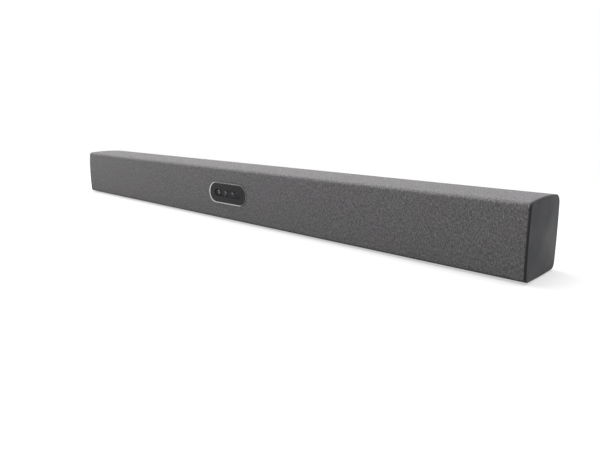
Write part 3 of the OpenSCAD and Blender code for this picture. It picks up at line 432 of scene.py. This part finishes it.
def coated_lens():
    """Multicoated lens glass: a black pupil in a violet ring and a green one, under a hard clear gloss. The
    rings are painted reflection, the tints that the coating shows in its glints.
    """
    material, tree = blank("multicoated_lens_glass")
    low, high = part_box("camera_lens_left")
    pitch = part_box("camera_lens_middle")[0].x - low.x
    # Distance from the axis of the nearest lens, as a share of its radius: x wraps round at the lens pitch
    place = put(tree, "SeparateXYZ", {"Vector": put(tree, "TexCoord").outputs["Object"]})
    along = put(tree, "Math", {0: place.outputs["X"], 1: (pitch - low.x - high.x) / 2}, operation="ADD")
    along = put(tree, "Math", {0: along, 1: pitch}, operation="FLOORED_MODULO")
    across = put(tree, "CombineXYZ", {"X": along, "Y": place.outputs["Z"]})
    away = put(tree, "VectorMath", {0: across, 1: (pitch / 2, middle(), 0)}, operation="DISTANCE")
    share = put(tree, "Math", {0: away.outputs["Value"], 1: (high.x - low.x) / 2}, operation="DIVIDE")
    # The violet and green rings are painted reflection: the coating's tinted glints, put in the base colour
    tone = put(tree, "ValToRGB", {"Fac": share}, [(0.25, linear("#07070c")), (0.5, linear("#8f83d6")),
                                                  (0.7, linear("#6fb8a4")), (0.95, linear("#0c0d12"))])
    close(tree, put(tree, "BsdfPrincipled", {"Base Color": tone, "Roughness": 0.04, "IOR": 2.0,
                                             "Coat Weight": 1.0, "Coat Roughness": 0.02, "Coat IOR": 2.0}))
    return material


def solder_resist():
    """Glass fibre circuit board under green solder resist: glossy, with paler copper tracks under it."""
    material, tree = blank("solder_resist_board")
    place = put(tree, "TexCoord").outputs["Object"]
    tracks = put(tree, "TexBrick", {
        "Vector": place, "Scale": 1.0, "Color1": linear("#1d4a33"), "Color2": linear("#245a3e"),
        "Mortar": linear("#2f7350"), "Mortar Size": 0.35 * MM, "Brick Width": 6 * MM, "Row Height": 2.4 * MM})
    bump = put(tree, "Bump", {"Height": tracks.outputs["Fac"], "Strength": 0.4, "Distance": 0.04 * MM})
    close(tree, put(tree, "BsdfPrincipled", {"Base Color": tracks, "Roughness": 0.28, "IOR": 1.5,
                                             "Normal": bump}))
    return material


def soft_rubber(name, base):
    """Moulded rubber: very dark, matt, with a dusty bloom."""
    material, tree = blank(name)
    place = put(tree, "TexCoord").outputs["Object"]
    dust = put(tree, "TexNoise", {"Vector": place, "Scale": 900.0, "Detail": 4.0})
    tone = put(tree, "ValToRGB", {"Fac": dust}, [(0.35, shade(base, 0.85)), (0.7, shade(base, 1.35))])
    bump = put(tree, "Bump", {"Height": dust, "Strength": 0.3, "Distance": 0.05 * MM})
    close(tree, put(tree, "BsdfPrincipled", {"Base Color": tone, "Roughness": 0.82, "IOR": 1.52,
                                             "Normal": bump}))
    return material


def pressed_paper():
    """Pressed paper pulp for the cones: mottled fibres, matt."""
    material, tree = blank("pressed_paper_pulp")
    place = put(tree, "TexCoord").outputs["Object"]
    pulp = put(tree, "TexNoise", {"Vector": place, "Scale": 420.0, "Detail": 6.0, "Roughness": 0.7})
    tone = put(tree, "ValToRGB", {"Fac": pulp}, [(0.3, linear("#2c2b2a")), (0.7, linear("#4a4846"))])
    bump = put(tree, "Bump", {"Height": pulp, "Strength": 0.5, "Distance": 0.15 * MM})
    close(tree, put(tree, "BsdfPrincipled", {"Base Color": tone, "Roughness": 0.8, "IOR": 1.45,
                                             "Normal": bump}))
    return material


def clear_acrylic():
    """Clear acrylic light pipe: bright and smooth, lit by nothing of its own."""
    material, tree = blank("moulded_clear_acrylic")
    place = put(tree, "TexCoord").outputs["Object"]
    flow = put(tree, "TexNoise", {"Vector": place, "Scale": 300.0})
    tone = put(tree, "ValToRGB", {"Fac": flow}, [(0.3, linear("#dfe4e8")), (0.7, linear("#f2f5f7"))])
    close(tree, put(tree, "BsdfPrincipled", {"Base Color": tone, "Roughness": 0.08, "IOR": 1.49,
                                             "Transmission Weight": 0.7}))
    return material


def finish_cad_nodes():
    """Gives each CAD node that stays the finish of the real piece."""
    c = bpy.context.scene.bar_colours
    # Fine satin grain, near black: parts that hold others and should not draw the eye
    black = moulded("moulded_black_abs", "#1c1d1f", rough=0.5)
    # Coarser and duller, as glass fibre leaves the surface: structural parts inside
    inside = moulded("moulded_glass_filled_nylon", "#232427", rough=0.62, grain=0.6)
    board = solder_resist()
    # Grey and softly bright, with fine marks: screw heads
    zinc = metal("zinc_plated_steel", "#a3a5a8", rough=0.32)
    # Paler and brighter, with broader marks: the folded cans of the sockets
    tin = metal("tin_plated_steel", "#b4b6b8", rough=0.26, streak=(4.0, 0.2, 4.0))
    finishes = {
        # Dark satin with a fine grain, a shade lighter than the end caps
        "rear_housing": moulded("moulded_housing_abs", c.housing, rough=0.52, grain=0.5, depth=0.06),
        "grille_carrier": black, "port_bay": black, "power_inlet": black, "camera_holder": black,
        "presence": black, "reset_switch": black,
        # Smoother and blacker than its holder, so that the lens glass stands out
        "camera_module": moulded("moulded_lens_barrel", "#101113", rough=0.4, grain=0.3),
        "camera_lens": coated_lens(), "status_light_pipe": clear_acrylic(),
        # Smooth off-white, which can be found at the bottom of the pinhole
        "reset_button": moulded("moulded_white_acetal", "#e4e4df", rough=0.35, grain=0.3),
        "end_plate_screws": zinc, "speaker_screws": zinc, "camera_holder_screws": zinc, "board_screws": zinc,
        "end_plate": inside, "speaker_box": inside, "woofer_frame": inside, "fullrange_frame": inside,
        "rubber_feet": soft_rubber("moulded_silicone_rubber", "#1a1b1c"),
        # Yellow and bright, with fine turning marks: the one warm tone on the back
        "bracket_inserts": metal("turned_brass", "#c9a75c", rough=0.25, streak=(6.0, 0.3, 6.0)),
        "camera_board": board, "mic_board": board, "main_board": board, "psu_board": board,
        "wifi_antenna": board,
        # Warm white metal with a tight highlight
        "mic_capsules": metal("nickel_plated_can", "#c4c2bc", rough=0.2),
        # Dark grey, nearly smooth, with a low gloss
        "processor": moulded("epoxy_chip_package", "#2b2c2f", rough=0.35, grain=0.2),
        # Pale metal with fine level die lines
        "heatsink": metal("extruded_aluminium", "#b0b2b5", rough=0.34, streak=(3.0, 3.0, 0.2)),
        "hdmi_sockets": tin, "usb_sockets": tin, "network_socket": tin,
        # Amber and slightly glossy, over the windings
        "psu_transformer": moulded("polyester_tape", "#9c7d2e", rough=0.4, grain=0.8),
        # Glossy blue, shrunk on, with hardly any grain
        "psu_capacitors": moulded("printed_pvc_sleeve", "#2b3f63", rough=0.3, grain=1.0),
        "woofer_cone": pressed_paper(),
        # Darker and duller than the screws, with coarse marks
        "woofer_magnet": metal("zinc_plated_yoke", "#8d9094", rough=0.4, streak=(0.4, 0.4, 5.0)),
    }
    for kind in ("cone", "magnet"):
        finishes["fullrange_" + kind] = finishes["woofer_" + kind]
    for name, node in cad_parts.items():
        if node.hide_render:
            continue
        keys = [k for k in finishes if name.startswith(k)]
        if not keys:
            raise RuntimeError(f"{name} has no finish")
        for slot in node.material_slots:
            slot.material = finishes[max(keys, key=len)]


# Pieces

class BAR_OT_cover(bpy.types.Operator):
    """Knitted cover, stretched over the front and the top and cut out round the window"""
    bl_idname = "bar.cover"
    bl_label = "Knitted cover"

    def execute(self, context):
        cover, window = sizes()[1:]
        # The cover's share of the outline, from the upper back edge over the top and down the front
        first, last = math.radians(55), math.radians(225)
        arcs = [(c, r, a % (2 * math.pi), a % (2 * math.pi) + b - a) for c, r, a, b in shell_arcs()]
        kept = [(c, r, max(a, first), min(b, last)) for c, r, a, b in arcs if min(b, last) > max(a, first)]
        # Girth: distance along the outline from the upper back seam, as the sum of radius times angle
        spans = [r * (b - a) for c, r, a, b in kept]
        starts = np.concatenate([[0], np.cumsum(spans)])
        girth = starts[-1]

        def place(x, s):
            """Surface point and outward normal at x along the bar and girth s: centre + r (cos a, sin a)."""
            k = np.clip(np.searchsorted(starts, s, side="right") - 1, 0, len(kept) - 1)
            centre = np.array([a[0] for a in kept])[k]
            r = np.array([a[1] for a in kept])[k]
            angle = np.array([a[2] for a in kept])[k] + (s - starts[k]) / r
            normal = np.stack([0 * x, np.cos(angle), np.sin(angle)], -1)
            return np.concatenate([x[..., None], centre + r[..., None] * normal[..., 1:]], -1), normal

        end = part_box("fabric_cover")[1].x
        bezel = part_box("window_bezel")[1]
        mid = middle()
        # The hole is a stadium, just clear of the bezel's outer edge
        opening = bezel.z - mid - window.flange
        half = bezel.x - window.flange - opening
        hole_r = opening + 0.1 * MM
        # The front is the arc whose centre is at mid height, and its middle faces -Y, at half a turn
        front = max(range(len(kept)), key=lambda i: kept[i][1] if abs(kept[i][0][1] - mid) < 1e-4 else 0)
        hole_s = starts[front] + kept[front][1] * (math.pi - kept[front][2])
        margin = 17 * MM  # How far the patch round the hole reaches above and below it
        low_s, high_s = hole_s - hole_r - margin, hole_s + hole_r + margin
        # Spacing of the grid: crowded along each edge, where the knit turns in, and finer by the window and
        # round the corners
        edge = np.array([0, 0.12, 0.35, 0.7, 1.2, 1.9, 3.0]) * MM
        far_step, near_step, side_step, corner_step = 5 * MM, 2.5 * MM, 3.0 * MM, 0.8 * MM
        corner_limit = 20 * MM  # Only the shell's corners have a smaller radius

        def between(a, b, step):
            return np.linspace(a, b, max(2, int(math.ceil((b - a) / step)) + 1))

        inner = end - edge[-1]
        xs = np.unique(np.round(np.concatenate([
            -end + edge, between(-inner, -cover.patch, far_step),
            between(-cover.patch, cover.patch, near_step), between(cover.patch, inner, far_step),
            end - edge]), 8))
        marks = [edge[-1], *starts[1:-1], low_s, high_s, girth - edge[-1]]
        marks = sorted(m for m in marks if edge[-1] <= m <= girth - edge[-1])
        ss = [edge]
        for a, b in zip(marks[:-1], marks[1:]):
            bent = any(abs(a - start) < 1e-9 and arc[1] < corner_limit for start, arc in zip(starts, kept))
            ss.append(between(a, b, corner_step if bent else side_step))
        ss = np.unique(np.round(np.concatenate([*ss, girth - edge]), 8))
        low_s, high_s = ss[np.argmin(abs(ss - low_s))], ss[np.argmin(abs(ss - high_s))]

        grid_x, grid_s = np.meshgrid(xs, ss)
        faces = grid_faces(len(ss), len(xs))
        mid_x = (grid_x[:-1, :-1] + grid_x[1:, 1:]).ravel() / 2
        mid_s = (grid_s[:-1, :-1] + grid_s[1:, 1:]).ravel() / 2
        inside = (abs(mid_x) < cover.patch) & (mid_s > low_s) & (mid_s < high_s)
        faces = faces[~inside]
        # The patch: rings that ease from the stadium of the window to the rectangle of the grid
        px = xs[(xs > -cover.patch - 1e-9) & (xs < cover.patch + 1e-9)]
        ps = ss[(ss > low_s - 1e-9) & (ss < high_s + 1e-9)]
        loop = np.concatenate([np.stack([px[:-1], 0 * px[:-1] + ps[0]], 1),
                               np.stack([0 * ps[:-1] + px[-1], ps[:-1]], 1),
                               np.stack([px[:0:-1], 0 * px[1:] + ps[-1]], 1),
                               np.stack([0 * ps[1:] + px[0], ps[:0:-1]], 1)])
        core = np.stack([np.clip(loop[:, 0], -half, half), 0 * loop[:, 0] + hole_s], 1)
        away = loop - core
        reach = np.linalg.norm(away, axis=1, keepdims=True)
        rim = core + away / reach * hole_r
        # Crowded at the hole as along the edges, and evenly spaced from there on
        share = np.concatenate([edge / margin, np.linspace(0.27, 1, 7)])[:, None, None]
        rings = rim + (loop - rim) * share
        patch_faces = grid_faces(len(share), len(loop), wrap=True) + grid_x.size
        x = np.concatenate([grid_x.ravel(), rings[..., 0].ravel()])
        s = np.concatenate([grid_s.ravel(), rings[..., 1].ravel()])
        points, normal = place(x, s)
        # Tuck: at a distance e from an edge the knit turns in by tuck (1 - sqrt(1 - (1 - e / width)^2))
        hole = np.hypot(x - np.clip(x, -half, half), s - hole_s) - hole_r
        e = np.minimum.reduce([end - abs(x), s, girth - s, np.maximum(hole, 0)])
        t = np.clip(1 - e / cover.tuck_w, 0, 1)
        points = points - normal * (cover.tuck * (1 - np.sqrt(1 - t * t)))[:, None]
        used = np.concatenate([faces[:, ::-1], patch_faces])
        keep = np.unique(used)
        renumber = np.zeros(len(points), np.int32)
        renumber[keep] = np.arange(len(keep))
        made = piece("knitted_cover", points[keep], renumber[used], heathered_knit(),
                     node="fabric_cover", uv=np.stack([x, s], 1)[keep], sharp=60, closed=False)
        wall = made.modifiers.new("cloth", "SOLIDIFY")
        wall.thickness = cover.cloth
        wall.offset = -1.0
        wall.use_even_offset = True
        return {"FINISHED"}


class BAR_OT_caps(bpy.types.Operator):
    """Moulded end caps with an eased edge, a shallow dome, a skirt and four hooks"""
    bl_idname = "bar.caps"
    bl_label = "End caps"

    def execute(self, context):
        shell, paint = sizes()[0], context.scene.bar_colours.cap
        # Near black and dull, so that the pale room raises it to no more than a dark grey
        finish = moulded("moulded_cap_abs", paint, rough=0.5, grain=0.45, depth=0.05, shine=0.2)
        mid = middle()
        # Skirt: its outer and inner insets, and how far it reaches past the end plate
        lip_out, lip_in, past = 3.2 * MM, 4.8 * MM, 0.2 * MM
        sunk = 0.02 * MM  # How far the skirt's foot lies in from the rim's back face
        # Hooks: half the width, half the arm's thickness, their places, and the side view of the barb as
        # reach past the skirt and height, all in mm
        hook_half, arm, hooks = 5, 0.9, [(y, z) for y in (-26, 26) for z in (-24, 24)]
        barb = ((6.0, -arm), (6.0, 1.2), (5.3, 2.7), (4.2, 2.7), (4.2, arm))
        for name, side in (("left", -1), ("right", 1)):
            low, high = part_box("end_cap_" + name)
            reach = max(abs(low.x), abs(high.x))
            base = reach - shell.cap_rim
            skirt_x = max(abs(v.x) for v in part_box("end_plate_" + name)) + past
            rim_x = reach - shell.cap_dome - shell.cap_edge_r
            # Rings of (inset, x): up the skirt and back, over the rim's eased back edge, along the rim, and a
            # quarter turn on to the face
            rings = [(lip_in, base - sunk), (lip_in, skirt_x), (lip_out, skirt_x), (lip_out, base - sunk),
                     (0.25 * MM, base), (0.08 * MM, base + 0.06 * MM), (0.0, base + 0.25 * MM), (0.0, rim_x)]
            rings += [(shell.cap_edge_r * (1 - math.cos(a)), rim_x + shell.cap_edge_r * math.sin(a))
                      for a in np.radians(np.linspace(10, 90, 9))]
            loops = [np.insert(outline(inset), 0, x, 1) for inset, x in rings]
            # The face: the outline shrunk by a share s towards its middle, at x = reach - dome s^2
            flat = outline(shell.cap_edge_r)
            centre = np.array([0, mid])
            for s in np.linspace(0.95, 0, 14):
                loops.append(np.insert(centre + s * (flat - centre), 0, reach - shell.cap_dome * s * s, 1))
            back = outline(lip_in)
            for s in (0.5, 0.0):
                loops.insert(0, np.insert(centre + s * (back - centre), 0, base - sunk, 1))
            parts = [loft(loops)]
            view = np.array([[base, -arm * MM], *[(skirt_x - r * MM, h * MM) for r, h in barb],
                             [base, arm * MM]])
            for y, z in hooks:
                ends = [np.stack([view[:, 0], 0 * view[:, 0] + (y + w) * MM, mid + z * MM + view[:, 1]], 1)
                        for w in (-hook_half, hook_half)]
                centre_line = [np.repeat(e.mean(0)[None], len(view), 0) for e in ends]
                parts.append(loft([centre_line[0], ends[0], ends[1], centre_line[1]]))
            points, faces = joined(*parts)
            points = points * np.array([side, 1, 1])
            piece("moulded_cap_" + name, points, faces, finish, node="end_cap_" + name, sharp=32)
        return {"FINISHED"}


class BAR_OT_window(bpy.types.Operator):
    """Bezel, glass and the turned rings round the lenses"""
    bl_idname = "bar.window"
    bl_label = "Window"

    def execute(self, context):
        window, c = sizes()[2], context.scene.bar_colours
        low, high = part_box("window_bezel")
        mid = middle()
        outer = high.z - mid - window.flange
        half = high.x - window.flange - outer
        front, back = low.y, high.y
        glass_low, glass_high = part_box("camera_window")
        seat = glass_high.y + 0.05 * MM  # The ledge, just behind the glass
        lip_y = glass_low.y - 0.1 * MM  # Where the bright cut ends, just before the glass
        inner = outer - window.bezel_face
        r = window.bezel_chamfer
        profile = np.concatenate([
            [[inner - window.ledge, back], [outer + window.flange, back],
             [outer + window.flange, back - window.flange_t], [outer, back - window.flange_t]],
            quarter((outer - r, front + r), r, 0, -90, 5),
            [[outer - r - window.bezel_land, front], [inner, lip_y], [inner, seat],
             [inner - window.ledge, seat], [inner - window.ledge, back]]])
        # Dark anodising hides the ring against the cloth, and the bare cut beside the glass shines
        streak = (5.0, 0.15, 5.0)  # The marks of the cutter run round the ring
        dark = metal("dark_anodised_aluminium", c.bezel, rough=0.35, streak=streak, spread=0.05)
        bright = metal("cut_aluminium", c.bezel_cut, rough=0.18, streak=streak, spread=0.04)
        points, faces = stadium_sweep(profile, half, mid, 32)
        ring = piece("bezel_ring", points, faces, dark, node="window_bezel", sharp=40)
        ring.data.materials.append(bright)
        at, way = np.empty(len(ring.data.polygons) * 3), np.empty(len(ring.data.polygons) * 3)
        ring.data.polygons.foreach_get("center", at)
        ring.data.polygons.foreach_get("normal", way)
        at, way = at.reshape(-1, 3), way.reshape(-1, 3)
        # The cut: faces before the glass that look forwards, and in towards the stadium's core
        off = np.stack([at[:, 0] - np.clip(at[:, 0], -half, half), at[:, 2] - mid], 1)
        inwards = (off * way[:, ::2]).sum(1) < -0.1 * np.linalg.norm(off, axis=1)
        cut = (at[:, 1] < glass_low.y) & inwards & (way[:, 1] < -0.2)
        ring.data.polygons.foreach_set("material_index", cut.astype(np.int32))
        edge, g = window.glass_edge, glass_high.z - mid
        # Glass: ground edges behind and before, the one before rounded a little
        pane = [[0, glass_high.y], [g - edge, glass_high.y], [g, glass_high.y - edge],
                [g, glass_low.y + edge], [g - 0.3 * edge, glass_low.y + 0.3 * edge],
                [g - edge, glass_low.y], [g * 0.6, glass_low.y], [0, glass_low.y]]
        points, faces = stadium_sweep(pane, half, mid, 32)
        piece("window_pane", points, faces, printed_glass(), node="camera_window", sharp=20)
        # Lens rings: inner and outer edge past the glass's radius, bevel, how far the bevel's foot and the
        # top stand before the barrel, and how deep the ring is seated in it
        gap, rim, bevel, shoulder, proud, seated = (v * MM for v in (0.25, 1.05, 0.15, 0.25, 0.4, 0.1))
        rings = []
        for side in ("left", "middle", "right"):
            low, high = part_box("camera_lens_" + side)
            x, radius = (low.x + high.x) / 2, (high.x - low.x) / 2
            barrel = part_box("camera_module_" + side)[0].y
            a, b = radius + gap, radius + rim
            rings.append(turned([[a, barrel + seated], [a, barrel - shoulder], [a + bevel, barrel - proud],
                                 [b - bevel, barrel - proud], [b, barrel - shoulder], [b, barrel + seated],
                                 [a, barrel + seated]], x, mid, 40))
        points, faces = joined(*rings)
        # Mid grey and satin, so that a thin circle shows round each lens
        satin = metal("turned_anodised_ring", "#808286", rough=0.3)
        piece("lens_retaining_rings", points, faces, satin, sharp=30)
        return {"FINISHED"}


class BAR_OT_surrounds(bpy.types.Operator):
    """Half rolls of rubber round the cones, with a lip on either side"""
    bl_idname = "bar.surrounds"
    bl_label = "Surrounds"

    def execute(self, context):
        skin, lip = context.scene.bar_surrounds.skin, context.scene.bar_surrounds.lip
        rubber = soft_rubber("moulded_butyl_rubber", "#1c1c1d")
        for driver in ("woofer", "fullrange"):
            for side in ("left", "right"):
                low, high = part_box(f"{driver}_surround_{side}")
                x, z, foot, reach = (low.x + high.x) / 2, (low.z + high.z) / 2, high.y, (high.x - low.x) / 2
                # Half roll: a half circle of radius roll about (crest, foot), hollow to the skin, with a lip
                # on either side
                roll = foot - low.y
                crest = reach - lip + skin - roll
                first = crest - roll + skin - lip
                start = math.degrees(math.asin(skin / roll))
                profile = np.concatenate([
                    quarter((crest, foot), roll, start - 180, -start, 14),
                    [[reach, foot - skin], [reach, foot]],
                    quarter((crest, foot), roll - skin, 0, -180, 12),
                    [[first, foot], [first, foot - skin]]])
                points, faces = turned(np.concatenate([profile, profile[:1]]), x, z, 72)
                made = piece(f"rolled_surround_{side}_{driver}", points, faces, rubber,
                             node=f"{driver}_surround_{side}", sharp=40, body=None)
                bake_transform(made)
                at = np.empty(len(made.data.vertices) * 3)
                made.data.vertices.foreach_get("co", at)
                at = at.reshape(-1, 3)
        return {"FINISHED"}


class BAR_OT_finishes(bpy.types.Operator):
    """Finishes for the CAD nodes that stay"""
    bl_idname = "bar.finishes"
    bl_label = "Finishes"

    def execute(self, context):
        finish_cad_nodes()
        return {"FINISHED"}


class BAR_OT_stage(bpy.types.Operator):
    """Pale floor, soft studio light and the camera"""
    bl_idname = "bar.stage"
    bl_label = "Stage"

    def execute(self, context):
        scene = context.scene
        scene.view_settings.view_transform = "Standard"
        white = (1, 1, 1, 1)
        reach = 15.0  # Half the floor's side
        mesh = bpy.data.meshes.new("floor")
        mesh.from_pydata([(-reach, -reach, 0), (reach, -reach, 0), (reach, reach, 0), (-reach, reach, 0)], [],
                         [(0, 1, 2, 3)])
        ground = bpy.data.objects.new("floor", mesh)
        scene.collection.objects.link(ground)
        floor, tree = blank("painted_floor")
        mesh.materials.append(floor)
        # Floor, as seen: pale paint that takes the bar's soft shadow, and fades to plain white between two
        # ovals, which reach 0.8 and 1.3 m to the sides
        lit = put(tree, "BsdfDiffuse", {"Color": linear("#b9b9b9")})
        lift = put(tree, "Emission", {"Color": white, "Strength": 0.5})
        painted = put(tree, "AddShader", {0: lit, 1: lift})
        plain = put(tree, "Emission", {"Color": white, "Strength": 1.0})
        place = put(tree, "TexCoord").outputs["Object"]
        away = put(tree, "VectorMath", {0: place, 1: (1, 1.4, 0)}, operation="MULTIPLY")
        away = put(tree, "VectorMath", {0: away}, operation="LENGTH").outputs["Value"]
        fade = put(tree, "MapRange", {"Value": away, "From Min": 0.8, "From Max": 1.3},
                   interpolation_type="SMOOTHSTEP")
        shown = put(tree, "MixShader", {0: fade, 1: painted, 2: plain})
        # As a source of bounced light it is greyer, and from below it is see-through
        bounce = put(tree, "BsdfDiffuse", {"Color": linear("#8c8c8c")})
        above = put(tree, "MixShader", {0: seen(tree), 1: bounce, 2: shown})
        below = put(tree, "NewGeometry").outputs["Backfacing"]
        clear = put(tree, "BsdfTransparent")
        close(tree, put(tree, "MixShader", {0: below, 1: above, 2: clear}))
        # World: even light for the object, white where it is seen or reflected
        world = bpy.data.worlds.new("studio")
        scene.world = world
        world.use_nodes = True
        tree = world.node_tree
        tree.nodes.clear()
        even = put(tree, "Background", {"Color": white, "Strength": 0.38})
        bright = put(tree, "Background", {"Color": white, "Strength": 1.0})
        sky = put(tree, "MixShader", {0: seen(tree), 1: even, 2: bright})
        put(tree, "OutputWorld", {"Surface": sky})
        # Lamps: one overhead that makes the top pale, and a weaker one that lights the left of the front
        for name, spot, aim, size, watts in (
                ("overhead", (-0.2, 0.15, 2.4), (0.0, 0.0, 0.05), (3.2, 1.6), 84.0),
                ("front_left", (-2.1, -1.95, 1.15), (-0.3, 0.0, 0.05), (1.6, 1.2), 30.0)):
            lamp = bpy.data.lights.new(name, "AREA")
            lamp.shape, lamp.size, lamp.size_y, lamp.energy = "RECTANGLE", *size, watts
            holder = bpy.data.objects.new(name, lamp)
            scene.collection.objects.link(holder)
            look(holder, np.array(spot), np.array(aim))
        # Camera: from a fit to the outline in the photograph, after which the focal length and the sideways
        #         shift were set. The focal length is in pixels of a picture 600 pixels wide
        focal, spot, yaw, pitch, roll = 532.0, (0.7737, -0.6724, 0.1949), -0.7506, 0.1659, 0.0102
        lens = bpy.data.cameras.new("photo")
        lens.sensor_width, lens.lens = 36.0, 36.0 * focal / 600
        lens.shift_x, lens.shift_y = -0.0046, -0.0316
        lens.clip_start, lens.clip_end = 0.01, 100
        eye = bpy.data.objects.new("photo", lens)
        scene.collection.objects.link(eye)
        ahead = np.array([math.sin(yaw) * math.cos(pitch), math.cos(yaw) * math.cos(pitch), -math.sin(pitch)])
        right = np.array([math.cos(yaw), -math.sin(yaw), 0])
        up = np.cross(right, ahead)
        place_by(eye, spot, right * math.cos(roll) + up * math.sin(roll),
                 up * math.cos(roll) - right * math.sin(roll), -ahead)
        scene.camera = eye
        return {"FINISHED"}


def seen(tree):
    """1 for what the camera sees, straight, reflected or through glass, and 0 for what only gives light."""
    path = put(tree, "LightPath").outputs
    share = put(tree, "Math", {0: path["Is Camera Ray"], 1: path["Is Glossy Ray"]}, operation="MAXIMUM")
    return put(tree, "Math", {0: share, 1: path["Is Transmission Ray"]}, operation="MAXIMUM")


def place_by(thing, spot, right, up, back):
    """Puts an object at a spot with its X, Y and Z axes along right, up and back."""
    turn = Matrix([list(row) for row in np.stack([right, up, back], 1)]).to_4x4()
    thing.matrix_world = Matrix.Translation(spot) @ turn


def look(thing, spot, aim):
    """Puts a lamp at a spot so that it shines at aim."""
    back = (spot - aim) / np.linalg.norm(spot - aim)
    right = np.cross([0.0, 1.0, 0.0] if abs(back[2]) > 0.9 else [0.0, 0.0, 1.0], back)
    right = right / np.linalg.norm(right)
    place_by(thing, spot, right, np.cross(back, right), back)


class BAR_PT_panel(bpy.types.Panel):
    """The pieces, in the order in which they are made"""
    bl_idname = "BAR_PT_panel"
    bl_label = "Camera bar"
    bl_space_type = "VIEW_3D"
    bl_region_type = "UI"
    bl_category = "Camera bar"

    def draw(self, context):
        for step in STEPS:
            self.layout.operator(step.bl_idname)
        for group in (getattr(context.scene, key) for key in GROUPS):
            box = self.layout.box()
            for key in group.__annotations__:
                box.prop(group, key)


GROUPS = {"bar_shell": ShellSizes, "bar_cover": CoverSizes, "bar_window": WindowSizes,
          "bar_surrounds": SurroundSizes, "bar_colours": Colours}
STEPS = (BAR_OT_stage, BAR_OT_cover, BAR_OT_caps, BAR_OT_window, BAR_OT_surrounds, BAR_OT_finishes)


def register():
    for kind in (*GROUPS.values(), *STEPS, BAR_PT_panel):
        bpy.utils.register_class(kind)
    for key, kind in GROUPS.items():
        setattr(bpy.types.Scene, key, bpy.props.PointerProperty(type=kind))


def unregister():
    for key in GROUPS:
        delattr(bpy.types.Scene, key)
    for kind in (BAR_PT_panel, *reversed(STEPS), *GROUPS.values()):
        bpy.utils.unregister_class(kind)


def main():
    register()
    bpy.ops.bar.stage()
    bpy.ops.bar.cover()
    bpy.ops.bar.caps()
    bpy.ops.bar.window()
    bpy.ops.bar.surrounds()
    bpy.ops.bar.finishes()


if __name__ == "__main__":
    main()
